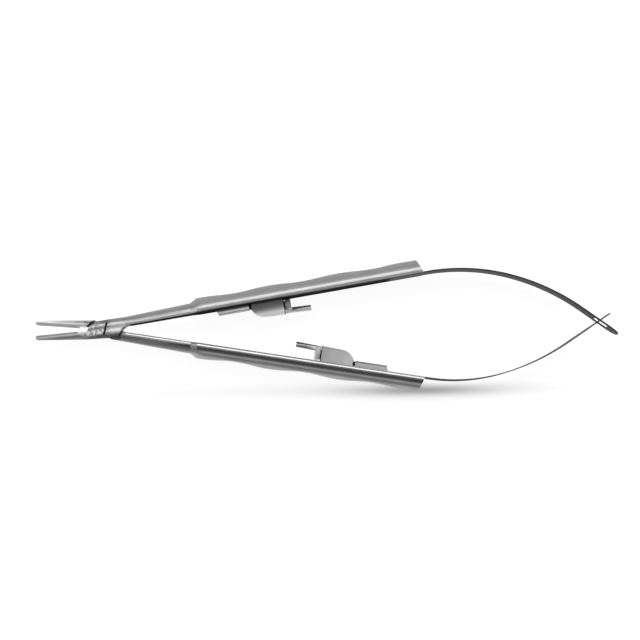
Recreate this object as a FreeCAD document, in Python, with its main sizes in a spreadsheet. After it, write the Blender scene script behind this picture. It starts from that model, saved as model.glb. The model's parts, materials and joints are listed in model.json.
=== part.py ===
import FreeCAD, Part
import math
import os
import re
import Sketcher

# A spring-handled needle holder with a box joint, lying on its side as it comes to rest.
# Two crossing halves turn on a slotted screw: the box half carries the upper handle and the
# lower jaw, the tang half passes through the box and carries the lower handle and the upper
# jaw. Each handle ends in a leaf spring, and the two leaves cross, tongue through slot.
# Between the handles stand two hooked catches that face each other.
#
# Every piece of a half is drawn in that half's own frame: the screw axis is the origin, X runs
# along the inner face of the handle, Y points out of that face and Z across the instrument.
# The jaws lie in a frame turned by the closed splay, with the shut grip plane at height 0.

SIZES = [
    ("closed_splay", 4.85, "angle of each handle to the middle line with the jaws shut, degrees"),
    ("jaw_opening", 8.84, "angle between the open jaws, degrees"),
    ("box_half_width", 2.3, "half the width of the box joint across the instrument"),
    ("box_heel", 0.55, "box behind the rear slit, up to the start of the shank"),
    ("shank_height", 2.2, "shank height where it leaves the box"),
    ("box_land", 1.5, "height of the cheeks' flat sides"),
    ("box_back", 2.5, "height of the box's back over the handle's plane, level with the jaws' root"),
    ("box_belly", 2.12, "height of the box's back under the grip plane, level with the shank's start"),
    ("tang_back", 2.45, "height of the tang half's back over the grip plane, level with the screw"),
    ("back_trim", 0.2, "stock that is trimmed from the box's back at its ends"),
    ("tang_inset", 0.1, "depth of the tang under the backs of its half"),
    ("shank_end", 20.3, "screw axis to the end of the shank"),
    ("shank_end_height", 2.7, "shank height at that end"),
    ("shank_end_width", 5.6, "shank width at that end"),
    ("shank_corner", 0.5, "rounding of the shank's inner edges"),
    ("shoulder_length", 1.7, "length of the shoulder from the shank to the full handle"),
    ("handle_end", 75.3, "screw axis to the end of the handle's inner face"),
    ("handle_width", 8.8, "width of the handle across the instrument"),
    ("handle_crown", 3.66, "height of the handle's rounded back before the grips are cut"),
    ("handle_corner", 0.7, "rounding of the handle's inner edges"),
    ("land", 0.26, "flat side land between the rounded edge and the rounded back"),
    ("end_slant", 0.32, "lean of the handle's end face, length per unit of height"),
    ("grip_crest", 3.52, "height of the crests between the finger grips"),
    ("end_crest", 3.36, "height of the crest behind the last finger grip"),
    ("grip_depth", 0.5, "depth of a finger grip below the crests"),
    ("grip_lead", 0.85, "full handle ahead of the first finger grip"),
    ("grip_tail", 3.55, "handle behind the last finger grip"),
    ("slit_front_top_x", 1.99, "front slit: upper end past the back, ahead of the screw"),
    ("slit_front_top_y", 2.62, "front slit: upper end past the back, above the screw"),
    ("slit_front_mid_x", 3.81, "front slit: bend, ahead of the screw"),
    ("slit_front_mid_y", 0.73, "front slit: bend, above the screw"),
    ("slit_front_foot_x", 4.4, "front slit: foot at the grip plane"),
    ("slit_rear_foot_x", 2.56, "rear slit: lower end past the back, behind the screw"),
    ("slit_rear_foot_y", 2.7, "rear slit: lower end past the back, below the screw"),
    ("slit_rear_head_x", 3.8, "rear slit: upper end, behind the screw"),
    ("slit_rear_head_y", 0.13, "rear slit: upper end, below the screw"),
    ("slit_front_gap", 0.3, "width of the front slit with the jaws shut"),
    ("slit_rear_gap", 0.45, "width of the rear slit with the jaws shut"),
    ("passage_tilt", 24.5, "lean of the passage through the box, degrees"),
    ("passage_half", 1.95, "half the height of the passage through the box"),
    ("tang_half", 1.45, "half the height of the tang in the passage"),
    ("tang_thickness", 1.5, "thickness of the tang"),
    ("tang_clearance", 0.05, "side clearance of the tang in the box"),
    ("screw_radius", 0.75, "radius of the joint screw's shank"),
    ("screw_head_radius", 1.5, "radius of the joint screw's flush head"),
    ("screw_head_depth", 0.8, "depth of the joint screw's head"),
    ("screw_seat_fit", 0.01, "clearance of the screw in the box"),
    ("screw_run_fit", 0.03, "running clearance of the tang on the screw"),
    ("driver_slot_width", 0.34, "width of the driver slot"),
    ("driver_slot_depth", 0.45, "depth of the driver slot"),
    ("driver_slot_angle", 73.0, "angle of the driver slot, degrees"),
    ("jaw_reach", 16.6, "screw axis to the tip of the jaws"),
    ("jaw_heel", 0.3, "box ahead of the front slit, up to the root of the jaws"),
    ("jaw_tip_height", 1.0, "jaw height at the tip"),
    ("jaw_root_height", 1.86, "jaw height at the root"),
    ("jaw_tip_width", 1.6, "jaw width at the tip"),
    ("jaw_root_width", 4.5, "jaw width at the root"),
    ("jaw_corner", 0.12, "rounding of the jaw's inner edges"),
    ("jaw_tip_land", 0.4, "flat side land of the jaw at the tip"),
    ("jaw_root_land", 1.25, "flat side land of the jaw at the root"),
    ("jaw_nose", 0.42, "rounding of the jaw tip's two edges"),
    ("bite_gap", 0.06, "gap between the shut grip faces"),
    ("insert_back", 1.6, "root of the jaws to the hard insert"),
    ("insert_thickness", 0.45, "thickness of the hard insert"),
    ("insert_step", 0.25, "step from the insert down to the jaw behind it"),
    ("leaf_thickness", 0.26, "thickness of the tail leaves"),
    ("leaf_width", 6.6, "width of the tail leaves at the handles"),
    ("leaf_end_width", 5.6, "width of the tail leaves past their bend"),
    ("leaf_seat_length", 7.9, "length of the leaf in the handle"),
    ("leaf_seat_gap", 0.85, "free end of the lower catch to the start of the leaf in the handle"),
    ("leaf_exit", 1.0, "straight length of the leaf outside the handle"),
    ("leaf_side_fit", 0.05, "side clearance of the leaf in its seat"),
    ("slot_leaf_root_radius", 46.0, "bend radius of the slotted leaf next to the handle"),
    ("slot_leaf_root_turn", 25.6, "bend angle of that stretch, degrees"),
    ("slot_leaf_radius", 51.5, "bend radius of the slotted leaf farther out"),
    ("slot_leaf_turn", 19.6, "bend angle of that stretch, degrees"),
    ("slot_leaf_nose", 2.4, "corner radius of the slotted leaf's end"),
    ("tongue_leaf_root_radius", 40.4, "bend radius of the tongue leaf next to the handle"),
    ("tongue_leaf_root_turn", 24.2, "bend angle of that stretch, degrees"),
    ("tongue_leaf_radius", 53.0, "bend radius of the tongue leaf farther out"),
    ("tongue_leaf_turn", 18.5, "bend angle of that stretch, degrees"),
    ("leaf_slot_length", 3.6, "length of the slot in the slotted leaf"),
    ("leaf_slot_width", 3.4, "width of the slot in the slotted leaf"),
    ("leaf_slot_lead", 1.17, "slot ahead of the place where the leaves cross"),
    ("leaf_slot_margin", 3.0, "slotted leaf beyond its slot"),
    ("tongue_width", 2.6, "width of the tongue"),
    ("tongue_neck", 2.45, "length of the tongue ahead of the place where the leaves cross"),
    ("tongue_reach", 3.15, "length of the tongue beyond that place"),
    ("tongue_shoulder_width", 4.2, "width of the tongue leaf at the tongue's shoulder"),
    ("leaf_rivet_radius", 0.8, "radius of the leaf's rivets"),
    ("leaf_rivet_depth", 1.8, "depth of the leaf's rivets in the handle"),
    ("catch_width", 4.2, "width of the catch's bar and housing"),
    ("bar_length", 7.75, "length of the catch's bar"),
    ("bar_height", 1.28, "height of the catch's bar"),
    ("bar_slant", 0.4, "lean of the bar's free end"),
    ("web_drop", 0.12, "top of the bar to the top of the web between bar and housing"),
    ("floor_height", 0.6, "height of the catch's floor strip"),
    ("floor_width", 2.3, "width of the catch's floor strip"),
    ("floor_fit", 0.02, "side clearance of the floor strip in the housing"),
    ("housing_gap", 0.45, "gap from the bar to the housing"),
    ("housing_length", 7.8, "length of the housing"),
    ("housing_foot", 1.4, "height where the housing's dome starts"),
    ("dome_length", 3.0, "length of the housing's dome"),
    ("dome_height", 3.4, "height at the end of the dome"),
    ("dome_radius", 3.3, "radius of the dome"),
    ("housing_height", 3.6, "height of the housing's front"),
    ("channel_width", 2.4, "width of the lever's channel in the housing"),
    ("channel_height", 2.8, "height of the lever's channel"),
    ("channel_length", 5.3, "length of the lever's channel"),
    ("lever_thickness", 1.5, "thickness of the hooked lever"),
    ("lever_top", 2.65, "height of the lever in its channel"),
    ("lever_lift", 0.12, "clearance of the lever above the floor strip"),
    ("lever_tail", 4.8, "housing front to the lever's tail"),
    ("pivot_setback", 2.9, "housing front to the lever's pin"),
    ("pin_radius", 0.5, "radius of the lever's pin"),
    ("pin_run_fit", 0.03, "running clearance of the lever on its pin"),
    ("stem_gap", 0.15, "gap from the housing to the hook's stem"),
    ("stem_thickness", 1.35, "thickness of the hook's stem"),
    ("stem_foot", 0.35, "clearance of the stem's foot above the handle"),
    ("stem_top", 3.54, "height of the hook over its stem"),
    ("lip_reach", 5.9, "length of the hook from the stem's back to its end"),
    ("lip_top", 3.84, "height of the hook's end"),
    ("lip_thickness", 1.2, "thickness of the hook's lip"),
    ("lip_overlap", 3.65, "length that the two hooks share along the shut handles"),
    ("lip_bevel", 0.45, "guide bevel on the lip's long edges"),
    ("blade_thickness", 0.2, "thickness of the centring blade"),
    ("blade_height", 1.0, "height of the centring blade"),
    ("blade_foot", 1.2, "height of the blade's lower edge"),
    ("blade_length", 1.9, "length of the centring blade"),
    ("blade_root", 0.6, "length of the blade held in the housing"),
    ("blade_play", 0.05, "play of the blade's end in the lever"),
    ("lever_slot", 1.0, "depth of the blade's slot in the lever"),
    ("catch_rivet_first", 2.3, "bar's free end to its first rivet"),
    ("catch_rivet_spacing", 3.4, "spacing of the bar's rivets"),
    ("catch_rivet_radius", 0.6, "radius of the bar's rivets"),
    ("catch_rivet_depth", 1.0, "depth of the bar's rivets in the handle"),
]
GRIPS = 3
LEAVES_MEET = "sin(slot_leaf_end_turn + tongue_leaf_end_turn - 2 * rest_splay)"
DERIVED = [
    ("rest_splay", "closed_splay + jaw_opening / 2", "angle of each handle to the middle line with the jaws open"),
    ("box_reach", "slit_rear_head_x + slit_rear_gap + box_heel", "screw axis to the start of the shank"),
    ("jaw_root", "slit_front_foot_x + slit_front_gap + jaw_heel", "screw axis to the root of the jaws"),
    ("insert_heel", "jaw_root + insert_back", "screw axis to the hard insert"),
    ("handle_start", "shank_end + shoulder_length", "screw axis to the start of the full handle"),
    ("grip_pitch", f"(handle_end - grip_tail - handle_start - grip_lead) / {GRIPS}", "length of one finger grip"),
    ("grip_start", "handle_start + grip_lead + grip_pitch / 2", "screw axis to the middle of the first grip"),
    ("leaf_seat", "handle_end - leaf_seat_length", "screw axis to the start of the leaf"),
    ("leaf_bend", "handle_end + leaf_exit", "screw axis to the first bend of the leaf"),
    ("lower_catch", "leaf_seat - leaf_seat_gap", "screw axis to the free end of the lower catch"),
    ("catch_length", "bar_length + housing_gap + housing_length + stem_gap + lip_reach", "free end to the lip's end"),
    ("upper_catch", "lower_catch + lip_overlap - 2 * catch_length", "screw axis to the free end of the upper catch"),
]
for kind in ("slot_leaf", "tongue_leaf"):
    step = f"({kind}_root_radius - {kind}_radius)"
    DERIVED += [
        (f"{kind}_end_turn", f"{kind}_root_turn + {kind}_turn", "whole bend angle of the leaf"),
        (f"{kind}_end_along", f"leaf_bend + {step} * sin({kind}_root_turn) + {kind}_radius * sin({kind}_end_turn)",
         "end of the bends, along the half"),
        (f"{kind}_end_up", f"leaf_thickness / 2 - {kind}_root_radius + {step} * cos({kind}_root_turn)"
         f" + {kind}_radius * cos({kind}_end_turn)", "end of the bends, out of the half"),
    ]
DERIVED += [
    ("leaf_step_along", "(tongue_leaf_end_along - slot_leaf_end_along) * cos(rest_splay)"
     " - (tongue_leaf_end_up - slot_leaf_end_up) * sin(rest_splay)",
     "slotted leaf's bend to the tongue leaf's, along"),
    ("leaf_step_up", "-(tongue_leaf_end_along + slot_leaf_end_along) * sin(rest_splay)"
     " - (tongue_leaf_end_up + slot_leaf_end_up) * cos(rest_splay)", "slotted leaf's bend to the tongue leaf's, up"),
    ("slot_leaf_cross", "(leaf_step_along * sin(tongue_leaf_end_turn - rest_splay)"
     f" - leaf_step_up * cos(tongue_leaf_end_turn - rest_splay)) / {LEAVES_MEET}",
     "slotted leaf's bend to the place where the leaves cross"),
    ("tongue_leaf_cross", "(leaf_step_along * sin(rest_splay - slot_leaf_end_turn)"
     f" - leaf_step_up * cos(rest_splay - slot_leaf_end_turn)) / {LEAVES_MEET}",
     "tongue leaf's bend to the place where the leaves cross"),
    ("slot_leaf_straight", "slot_leaf_cross - leaf_slot_lead + leaf_slot_length + leaf_slot_margin",
     "straight end of the slotted leaf"),
    ("tongue_leaf_straight", "tongue_leaf_cross + tongue_reach", "straight end of the tongue leaf"),
]
NAMES = {name for name, *_ in SIZES + DERIVED}

doc = FreeCAD.newDocument("NeedleHolder")
sheet = doc.addObject("Spreadsheet::Sheet", "Sizes")
for row, (name, number, meaning) in enumerate(SIZES, start=1):
    sheet.set(f"A{row}", meaning)
    sheet.set(f"B{row}", str(number))
    sheet.setAlias(f"B{row}", name)
doc.recompute()
for row, (name, formula, meaning) in enumerate(DERIVED, start=len(SIZES) + 2):
    sheet.set(f"A{row}", meaning)
    sheet.set(f"B{row}", f"={formula}")
    sheet.setAlias(f"B{row}", name)
doc.recompute()


def bound(text):
    """The expression with each size's name pointed at the sheet."""
    return re.sub(r"[a-z_]+", lambda word: "Sizes." + word.group() if word.group() in NAMES else word.group(), text)


def value(text):
    """The number that an expression gives now."""
    return float(sheet.evalExpression(bound(text)))


def point(across, up):
    return FreeCAD.Vector(value(across), value(up), 0)


def in_jaw_frame(along, up):
    """A point of the jaws' frame, given in the half's own frame."""
    return (f"({along}) * cos(closed_splay) + ({up}) * sin(closed_splay)",
            f"({up}) * cos(closed_splay) - ({along}) * sin(closed_splay)")


def on_wall(up, half, tilt):
    """Where a wall of the leaning passage, half above its middle, reaches a height."""
    return f"(({up}) * cos({tilt}) - ({half})) / sin({tilt})"


def new_body(label):
    body = doc.addObject("PartDesign::Body", label)
    body.Label = label
    return body


def new_sketch(body, name, role, shift, turn):
    """A sketch on a plane of the body, moved by shift and turned about its own upward axis."""
    plane = next(item for item in body.Origin.OriginFeatures if item.Role == role)
    sketch = body.newObject("Sketcher::SketchObject", f"{body.Label}_{name}")
    sketch.AttachmentSupport = [(plane, "")]
    sketch.MapMode = "FlatFace"
    upward = FreeCAD.Vector(0, 1, 0)
    sketch.AttachmentOffset = FreeCAD.Placement(FreeCAD.Vector(), FreeCAD.Rotation(upward, value(turn)))
    if turn != "0":
        sketch.setExpression("AttachmentOffset.Rotation.Angle", bound(turn))
    for axis, amount in zip("xyz", shift):
        if amount != "0":
            sketch.setExpression(f"AttachmentOffset.Base.{axis}", bound(amount))
    return sketch


def hold_point(sketch, edge, end, across, up):
    """Ties an edge's end to its two distances from the sketch's origin."""
    for kind, amount in (("DistanceX", across), ("DistanceY", up)):
        index = sketch.addConstraint(Sketcher.Constraint(kind, -1, 1, edge, end, value(amount)))
        sketch.setExpression(f"Constraints[{index}]", bound(amount))


def outline(body, name, role, corners, shift=("0", "0", "0"), turn="0"):
    """A closed outline through corners given as (across, up) or (across, up, radius, side).
    The edge that leaves a corner with a radius is an arc, which turns left for side 1 and
    right for side -1 on its way to the next corner."""
    sketch = new_sketch(body, name, role, shift, turn)
    starts = []
    ends = []
    for here, there in zip(corners, corners[1:] + corners[:1]):
        first = point(here[0], here[1])
        last = point(there[0], there[1])
        if len(here) == 2:
            edge = sketch.addGeometry(Part.LineSegment(first, last), False)
            starts.append((edge, 1))
            ends.append((edge, 2))
            continue
        radius, side = value(here[2]), here[3]
        chord = last - first
        sideways = FreeCAD.Vector(-chord.y, chord.x, 0).normalize() * side
        sagitta = radius - math.sqrt(radius ** 2 - (chord.Length / 2) ** 2)
        middle = (first + last) / 2 - sideways * sagitta
        ordered = (first, middle, last) if side > 0 else (last, middle, first)
        edge = sketch.addGeometry(Part.Arc(*ordered), False)
        starts.append((edge, 1 if side > 0 else 2))
        ends.append((edge, 2 if side > 0 else 1))
    for (edge, end), (following, start) in zip(ends, starts[1:] + starts[:1]):
        sketch.addConstraint(Sketcher.Constraint("Coincident", edge, end, following, start))
    for (edge, end), corner in zip(starts, corners):
        hold_point(sketch, edge, end, corner[0], corner[1])
        if len(corner) > 2:
            index = sketch.addConstraint(Sketcher.Constraint("Radius", edge, value(corner[2])))
            sketch.setExpression(f"Constraints[{index}]", bound(corner[2]))
    return sketch


def circles(body, name, role, centres, radius, shift=("0", "0", "0")):
    """Circles of one radius at the given centres."""
    sketch = new_sketch(body, name, role, shift, "0")
    for across, up in centres:
        circle = Part.Circle(point(across, up), FreeCAD.Vector(0, 0, 1), value(radius))
        edge = sketch.addGeometry(circle, False)
        hold_point(sketch, edge, 3, across, up)
        index = sketch.addConstraint(Sketcher.Constraint("Radius", edge, value(radius)))
        sketch.setExpression(f"Constraints[{index}]", bound(radius))
    return sketch


def swept(body, name, kind, sketch, length, both_ways=False, backwards=False):
    """A pad or a pocket of the sketch, as deep as length, or through everything without one."""
    feature = body.newObject(f"PartDesign::{kind}", f"{body.Label}_{name}")
    feature.Profile = sketch
    if length is None:
        feature.Type = "ThroughAll"
    else:
        feature.setExpression("Length", bound(length))
    if both_ways:
        feature.SideType = "Symmetric"
    feature.Reversed = backwards
    doc.recompute()
    if kind == "Pocket" and feature.Shape.Volume > feature.BaseFeature.Shape.Volume - 1e-6:
        raise RuntimeError(f"{feature.Label} cuts nothing")
    return feature


def lofted(body, name, sketches, kind="AdditiveLoft"):
    """Straight-sided skin through the sections in order."""
    feature = body.newObject(f"PartDesign::{kind}", f"{body.Label}_{name}")
    feature.Profile = sketches[0]
    feature.Sections = sketches[1:]
    feature.Ruled = True
    doc.recompute()
    return feature


def rounded_section(body, name, at, width, height, corner, land, side, lift, turn):
    """Cross-section with a flat inner face, two rounded edges, side lands and a rounded back.
    It stands lift out from the inner plane, on the given side of it, at a distance along the
    frame that is turned by turn."""
    half = f"({width}) / 2"
    rise = f"({height} - {corner} - {land})"
    crown = f"(({half}) ^ 2 + {rise} ^ 2) / (2 * {rise})"

    def out(amount):
        return f"{side} * ({lift} + {amount})"

    corners = [
        (out("0"), f"{corner} - {half}"),
        (out("0"), f"{half} - {corner}", corner, -side),
        (out(corner), half),
        (out(f"{corner} + {land}"), half, crown, -side),
        (out(f"{corner} + {land}"), f"-{half}"),
        (out(corner), f"-{half}", corner, -side),
    ]
    shift = (f"({at}) * sin({turn})", "0", f"({at}) * cos({turn})")
    return outline(body, name, "YZ_Plane", corners, shift, turn)


def jaw_width(at):
    """Width of the jaw at a distance ahead of the screw."""
    return (f"(jaw_tip_width + (jaw_root_width - jaw_tip_width) * (jaw_reach - {at})"
            " / (jaw_reach - jaw_root))")


def add_handle(body, catch_rivets):
    """Shank, shoulder and scalloped handle, with the seats of the leaf and the catch."""
    stations = [
        ("box_reach", "2 * box_half_width", "shank_height", "shank_corner", "(box_land - shank_corner)"),
        ("shank_end", "shank_end_width", "shank_end_height", "shank_corner", "land"),
        ("handle_start", "handle_width", "handle_crown", "handle_corner", "land"),
        ("handle_end", "handle_width", "handle_crown", "handle_corner", "land"),
    ]
    sections = [rounded_section(body, f"section_{index}", *station, 1, "0", "0")
                for index, station in enumerate(stations)]
    lofted(body, "blank", sections)
    cut_grips(body)
    seat = [("leaf_seat", "leaf_width / 2 + leaf_side_fit"), ("leaf_seat", "-leaf_width / 2 - leaf_side_fit"),
            ("handle_end + leaf_thickness", "-leaf_width / 2 - leaf_side_fit"),
            ("handle_end + leaf_thickness", "leaf_width / 2 + leaf_side_fit")]
    swept(body, "leaf_seat", "Pocket", outline(body, "seat_plan", "XZ_Plane", seat), "leaf_thickness")
    holes = circles(body, "leaf_rivets", "XZ_Plane", leaf_rivet_centres(), "leaf_rivet_radius")
    swept(body, "leaf_rivet_holes", "Pocket", holes, "leaf_rivet_depth")
    holes = circles(body, "catch_rivets", "XZ_Plane", catch_rivets, "catch_rivet_radius")
    swept(body, "catch_rivet_holes", "Pocket", holes, "catch_rivet_depth")


def cut_grips(body):
    """Finger grips along the rounded back, as one wave of equal arcs, and the leaning end face."""
    middle = "grip_crest - grip_depth / 2"
    bend = "((grip_pitch / 4) ^ 2 + (grip_depth / 2) ^ 2) / grip_depth"
    clear = "2 * handle_crown"
    wave = [("shank_end", clear), ("shank_end", "grip_crest"),
            ("grip_start - grip_pitch / 2", "grip_crest", bend, -1)]
    for grip in range(GRIPS):
        centre = f"grip_start + {grip} * grip_pitch"
        wave.append((f"{centre} - grip_pitch / 4", middle, bend, 1))
        wave.append((f"{centre} + grip_pitch / 4", middle, bend, -1))
    wave += [(f"grip_start + {GRIPS - 0.5} * grip_pitch", "end_crest"),
             ("handle_end - end_slant * end_crest", "end_crest"),
             ("handle_end", "0"), ("handle_end + handle_crown", "0"), ("handle_end + handle_crown", clear)]
    swept(body, "grips", "Pocket", outline(body, "grip_wave", "XY_Plane", wave), "2 * handle_width", both_ways=True)


def add_jaw(body):
    """Tapered jaw with a rounded back, relieved behind the seat of its insert."""
    sections = [rounded_section(body, f"jaw_section_{end}", f"-jaw_{at}", jaw_width(f"jaw_{at}"),
                                f"jaw_{end}_height", "jaw_corner", f"jaw_{end}_land", -1, "bite_gap / 2",
                                "-closed_splay")
                for end, at in (("tip", "reach"), ("root", "root"))]
    lofted(body, "jaw", sections)
    floor = "-(bite_gap / 2 + insert_thickness)"
    seat_end = "-insert_heel"
    front = "-jaw_reach - jaw_tip_height"
    seat = [(front, floor), (seat_end, floor), (seat_end, "jaw_tip_height"), (front, "jaw_tip_height")]
    seat = [in_jaw_frame(*corner) for corner in seat]
    swept(body, "insert_seat", "Pocket", outline(body, "insert_seat_side", "XY_Plane", seat),
          "4 * box_half_width", both_ways=True)
    relief = [(seat_end, "-jaw_face"), ("-slit_front_foot_x", "-jaw_face"),
              ("-slit_front_foot_x", "jaw_tip_height"), (seat_end, "jaw_tip_height")]
    relief = [in_jaw_frame(along, up.replace("jaw_face", JAW_FACE)) for along, up in relief]
    swept(body, "jaw_relief", "Pocket", outline(body, "jaw_relief_side", "XY_Plane", relief),
          "4 * box_half_width", both_ways=True)
    outer = "-(bite_gap / 2 + jaw_tip_height)"
    round_nose(body, outer, 1)


def round_nose(body, edge, side):
    """Rounds the tip's edge at the given height, with the metal on the given side of it."""
    nose = [("-jaw_reach", f"{edge} + {side} * jaw_nose", "jaw_nose", side),
            ("-jaw_reach + jaw_nose", edge), ("-jaw_reach + jaw_nose", f"{edge} - {side} * jaw_nose"),
            ("-jaw_reach - jaw_nose", f"{edge} - {side} * jaw_nose"),
            ("-jaw_reach - jaw_nose", f"{edge} + {side} * jaw_nose")]
    nose = [(*in_jaw_frame(*corner[:2]), *corner[2:]) for corner in nose]
    swept(body, "nose", "Pocket", outline(body, "nose_side", "XY_Plane", nose), "4 * box_half_width", both_ways=True)


JAW_FACE = "(bite_gap / 2 + insert_step)"


def round_back(body, name, side, turn, *ends):
    """Rounds the long edges of the box outside its flat sides, between two (along, height) stations."""
    sections = []
    for index, (at, height) in enumerate(ends):
        rise = f"({height} - box_land)"
        crown = f"(box_half_width ^ 2 + {rise} ^ 2) / (2 * {rise})"
        edge = f"{side} * box_land"
        past = f"{side} * 2 * box_reach"
        corners = [(edge, "box_half_width", crown, -side), (edge, "-box_half_width"), (edge, "-2 * box_half_width"),
                   (past, "-2 * box_half_width"), (past, "2 * box_half_width"), (edge, "2 * box_half_width")]
        shift = (f"({at}) * sin({turn})", "0", f"({at}) * cos({turn})")
        sections.append(outline(body, f"{name}_section_{index}", "YZ_Plane", corners, shift, turn))
    lofted(body, name, sections, "SubtractiveLoft")


def build_box_half():
    """Upper handle and lower jaw, joined by the box with its two cheeks."""
    body = new_body("box_half")
    add_handle(body, catch_rivet_centres("upper_catch", 1))
    add_jaw(body)
    block = [
        in_jaw_frame("-slit_front_top_x", "slit_front_top_y"),
        in_jaw_frame("-slit_front_mid_x", "slit_front_mid_y"),
        in_jaw_frame("-slit_front_foot_x", f"-{JAW_FACE}"),
        in_jaw_frame("-jaw_root", f"-{JAW_FACE}"),
        in_jaw_frame("-jaw_root", "-(bite_gap / 2 + jaw_root_height + back_trim)"),
        in_jaw_frame("slit_rear_foot_x", "-slit_rear_foot_y"),
        in_jaw_frame("slit_rear_head_x", "-slit_rear_head_y"),
        ("box_reach", "0"),
        ("box_reach", "shank_height + back_trim"),
    ]
    swept(body, "box", "Pad", outline(body, "box_side", "XY_Plane", block), "2 * box_half_width", both_ways=True)
    round_back(body, "upper_back", 1, "0", ("-jaw_root", "box_back"), ("box_reach", "shank_height"))
    round_back(body, "lower_back", -1, "-closed_splay", ("-jaw_root", "(bite_gap / 2 + jaw_root_height)"),
               ("box_reach", "box_belly"))
    tilt = "(-passage_tilt - closed_splay)"
    passage = []
    for along, across in ((-1, -1), (1, -1), (1, 1), (-1, 1)):
        run = f"({along} * 1.2 * box_reach)"
        rise = f"({across} * passage_half)"
        passage.append((f"{run} * cos{tilt} - {rise} * sin{tilt}", f"{run} * sin{tilt} + {rise} * cos{tilt}"))
    swept(body, "passage", "Pocket", outline(body, "passage_side", "XY_Plane", passage),
          "tang_thickness + 2 * tang_clearance", both_ways=True)
    bore = circles(body, "screw_bore", "XY_Plane", [("0", "0")], "screw_radius + screw_seat_fit")
    swept(body, "bore", "Pocket", bore, "4 * box_half_width", both_ways=True)
    recess = circles(body, "screw_recess", "XY_Plane", [("0", "0")], "screw_head_radius + screw_seat_fit",
                     ("0", "0", "box_half_width"))
    swept(body, "recess", "Pocket", recess, "screw_head_depth")
    return body


def build_tang_half():
    """Lower handle and upper jaw, joined by the tang that passes through the box."""
    body = new_body("tang_half")
    add_handle(body, catch_rivet_centres("lower_catch", -1))
    add_jaw(body)
    jaw_block = [
        in_jaw_frame("-jaw_root", f"-{JAW_FACE}"),
        in_jaw_frame("-jaw_root", "-(bite_gap / 2 + jaw_root_height + back_trim)"),
        in_jaw_frame("-slit_front_top_x - slit_front_gap", "-slit_front_top_y"),
        in_jaw_frame("-slit_front_mid_x - slit_front_gap", "-slit_front_mid_y"),
        in_jaw_frame("-slit_front_foot_x - slit_front_gap", f"-{JAW_FACE}"),
    ]
    swept(body, "jaw_block", "Pad", outline(body, "jaw_block_side", "XY_Plane", jaw_block),
          "2 * box_half_width", both_ways=True)
    round_back(body, "jaw_back", -1, "-closed_splay", ("-jaw_root", "(bite_gap / 2 + jaw_root_height)"),
               ("0", "tang_back"))
    shank_block = [
        in_jaw_frame("slit_rear_foot_x + slit_rear_gap", "slit_rear_foot_y"),
        in_jaw_frame("slit_rear_head_x + slit_rear_gap", "slit_rear_head_y"),
        ("box_reach", "0"),
        ("box_reach", "shank_height + back_trim"),
    ]
    swept(body, "shank_block", "Pad", outline(body, "shank_block_side", "XY_Plane", shank_block),
          "2 * box_half_width", both_ways=True)
    round_back(body, "shank_back", 1, "0", ("0", "shank_height"), ("box_reach", "shank_height"))
    jaw_back = "-(bite_gap / 2 + jaw_root_height - tang_inset)"
    shank_back = "(shank_height - tang_inset)"
    tilt = "(passage_tilt - closed_splay)"
    tang = [
        in_jaw_frame(on_wall(jaw_back, "-tang_half", "passage_tilt"), jaw_back),
        (on_wall("0", "-tang_half", tilt), "0"),
        ("box_reach", "0"),
        ("box_reach", shank_back),
        (on_wall(shank_back, "tang_half", tilt), shank_back),
        in_jaw_frame(on_wall(f"-{JAW_FACE}", "tang_half", "passage_tilt"), f"-{JAW_FACE}"),
        in_jaw_frame("-jaw_root", f"-{JAW_FACE}"),
        in_jaw_frame("-jaw_root", jaw_back),
    ]
    swept(body, "tang", "Pad", outline(body, "tang_side", "XY_Plane", tang), "tang_thickness", both_ways=True)
    bore = circles(body, "screw_bore", "XY_Plane", [("0", "0")], "screw_radius + screw_run_fit")
    swept(body, "bore", "Pocket", bore, "4 * box_half_width", both_ways=True)
    return body


def build_screw():
    """Slotted screw whose flat head lies flush in the near cheek."""
    body = new_body("joint_screw")
    shank = circles(body, "shank_plan", "XY_Plane", [("0", "0")], "screw_radius", ("0", "0", "-box_half_width"))
    swept(body, "shank", "Pad", shank, "2 * box_half_width - screw_head_depth")
    head = circles(body, "head_plan", "XY_Plane", [("0", "0")], "screw_head_radius",
                   ("0", "0", "box_half_width - screw_head_depth"))
    swept(body, "head", "Pad", head, "screw_head_depth")
    slot = []
    for along, across in ((-1, -1), (1, -1), (1, 1), (-1, 1)):
        run = f"({along} * 1.2 * screw_head_radius)"
        rise = f"({across} * driver_slot_width / 2)"
        turn = "(driver_slot_angle - closed_splay)"
        slot.append((f"{run} * cos{turn} - {rise} * sin{turn}", f"{run} * sin{turn} + {rise} * cos{turn}"))
    slot = outline(body, "slot_plan", "XY_Plane", slot, ("0", "0", "box_half_width"))
    swept(body, "slot", "Pocket", slot, "driver_slot_depth")
    return body


def build_insert(label):
    """Hard insert brazed along the grip face of a jaw, as wide as the jaw all the way."""
    body = new_body(label)
    sections = []
    for index, at in enumerate(("jaw_reach", "insert_heel")):
        half = f"{jaw_width(at)} / 2"
        face = "-bite_gap / 2"
        back = "-(bite_gap / 2 + insert_thickness)"
        corners = [(face, f"-{half}"), (face, half), (back, half), (back, f"-{half}")]
        shift = (f"{at} * sin(closed_splay)", "0", f"-{at} * cos(closed_splay)")
        sections.append(outline(body, f"section_{index}", "YZ_Plane", corners, shift, "-closed_splay"))
    lofted(body, "pad", sections)
    round_nose(body, "-bite_gap / 2", -1)
    return body


def leaf_rivet_centres():
    """The rivets stand a quarter of the seat's length from its ends."""
    return [(f"leaf_seat + leaf_seat_length * {share}", "0") for share in (0.25, 0.75)]


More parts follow.
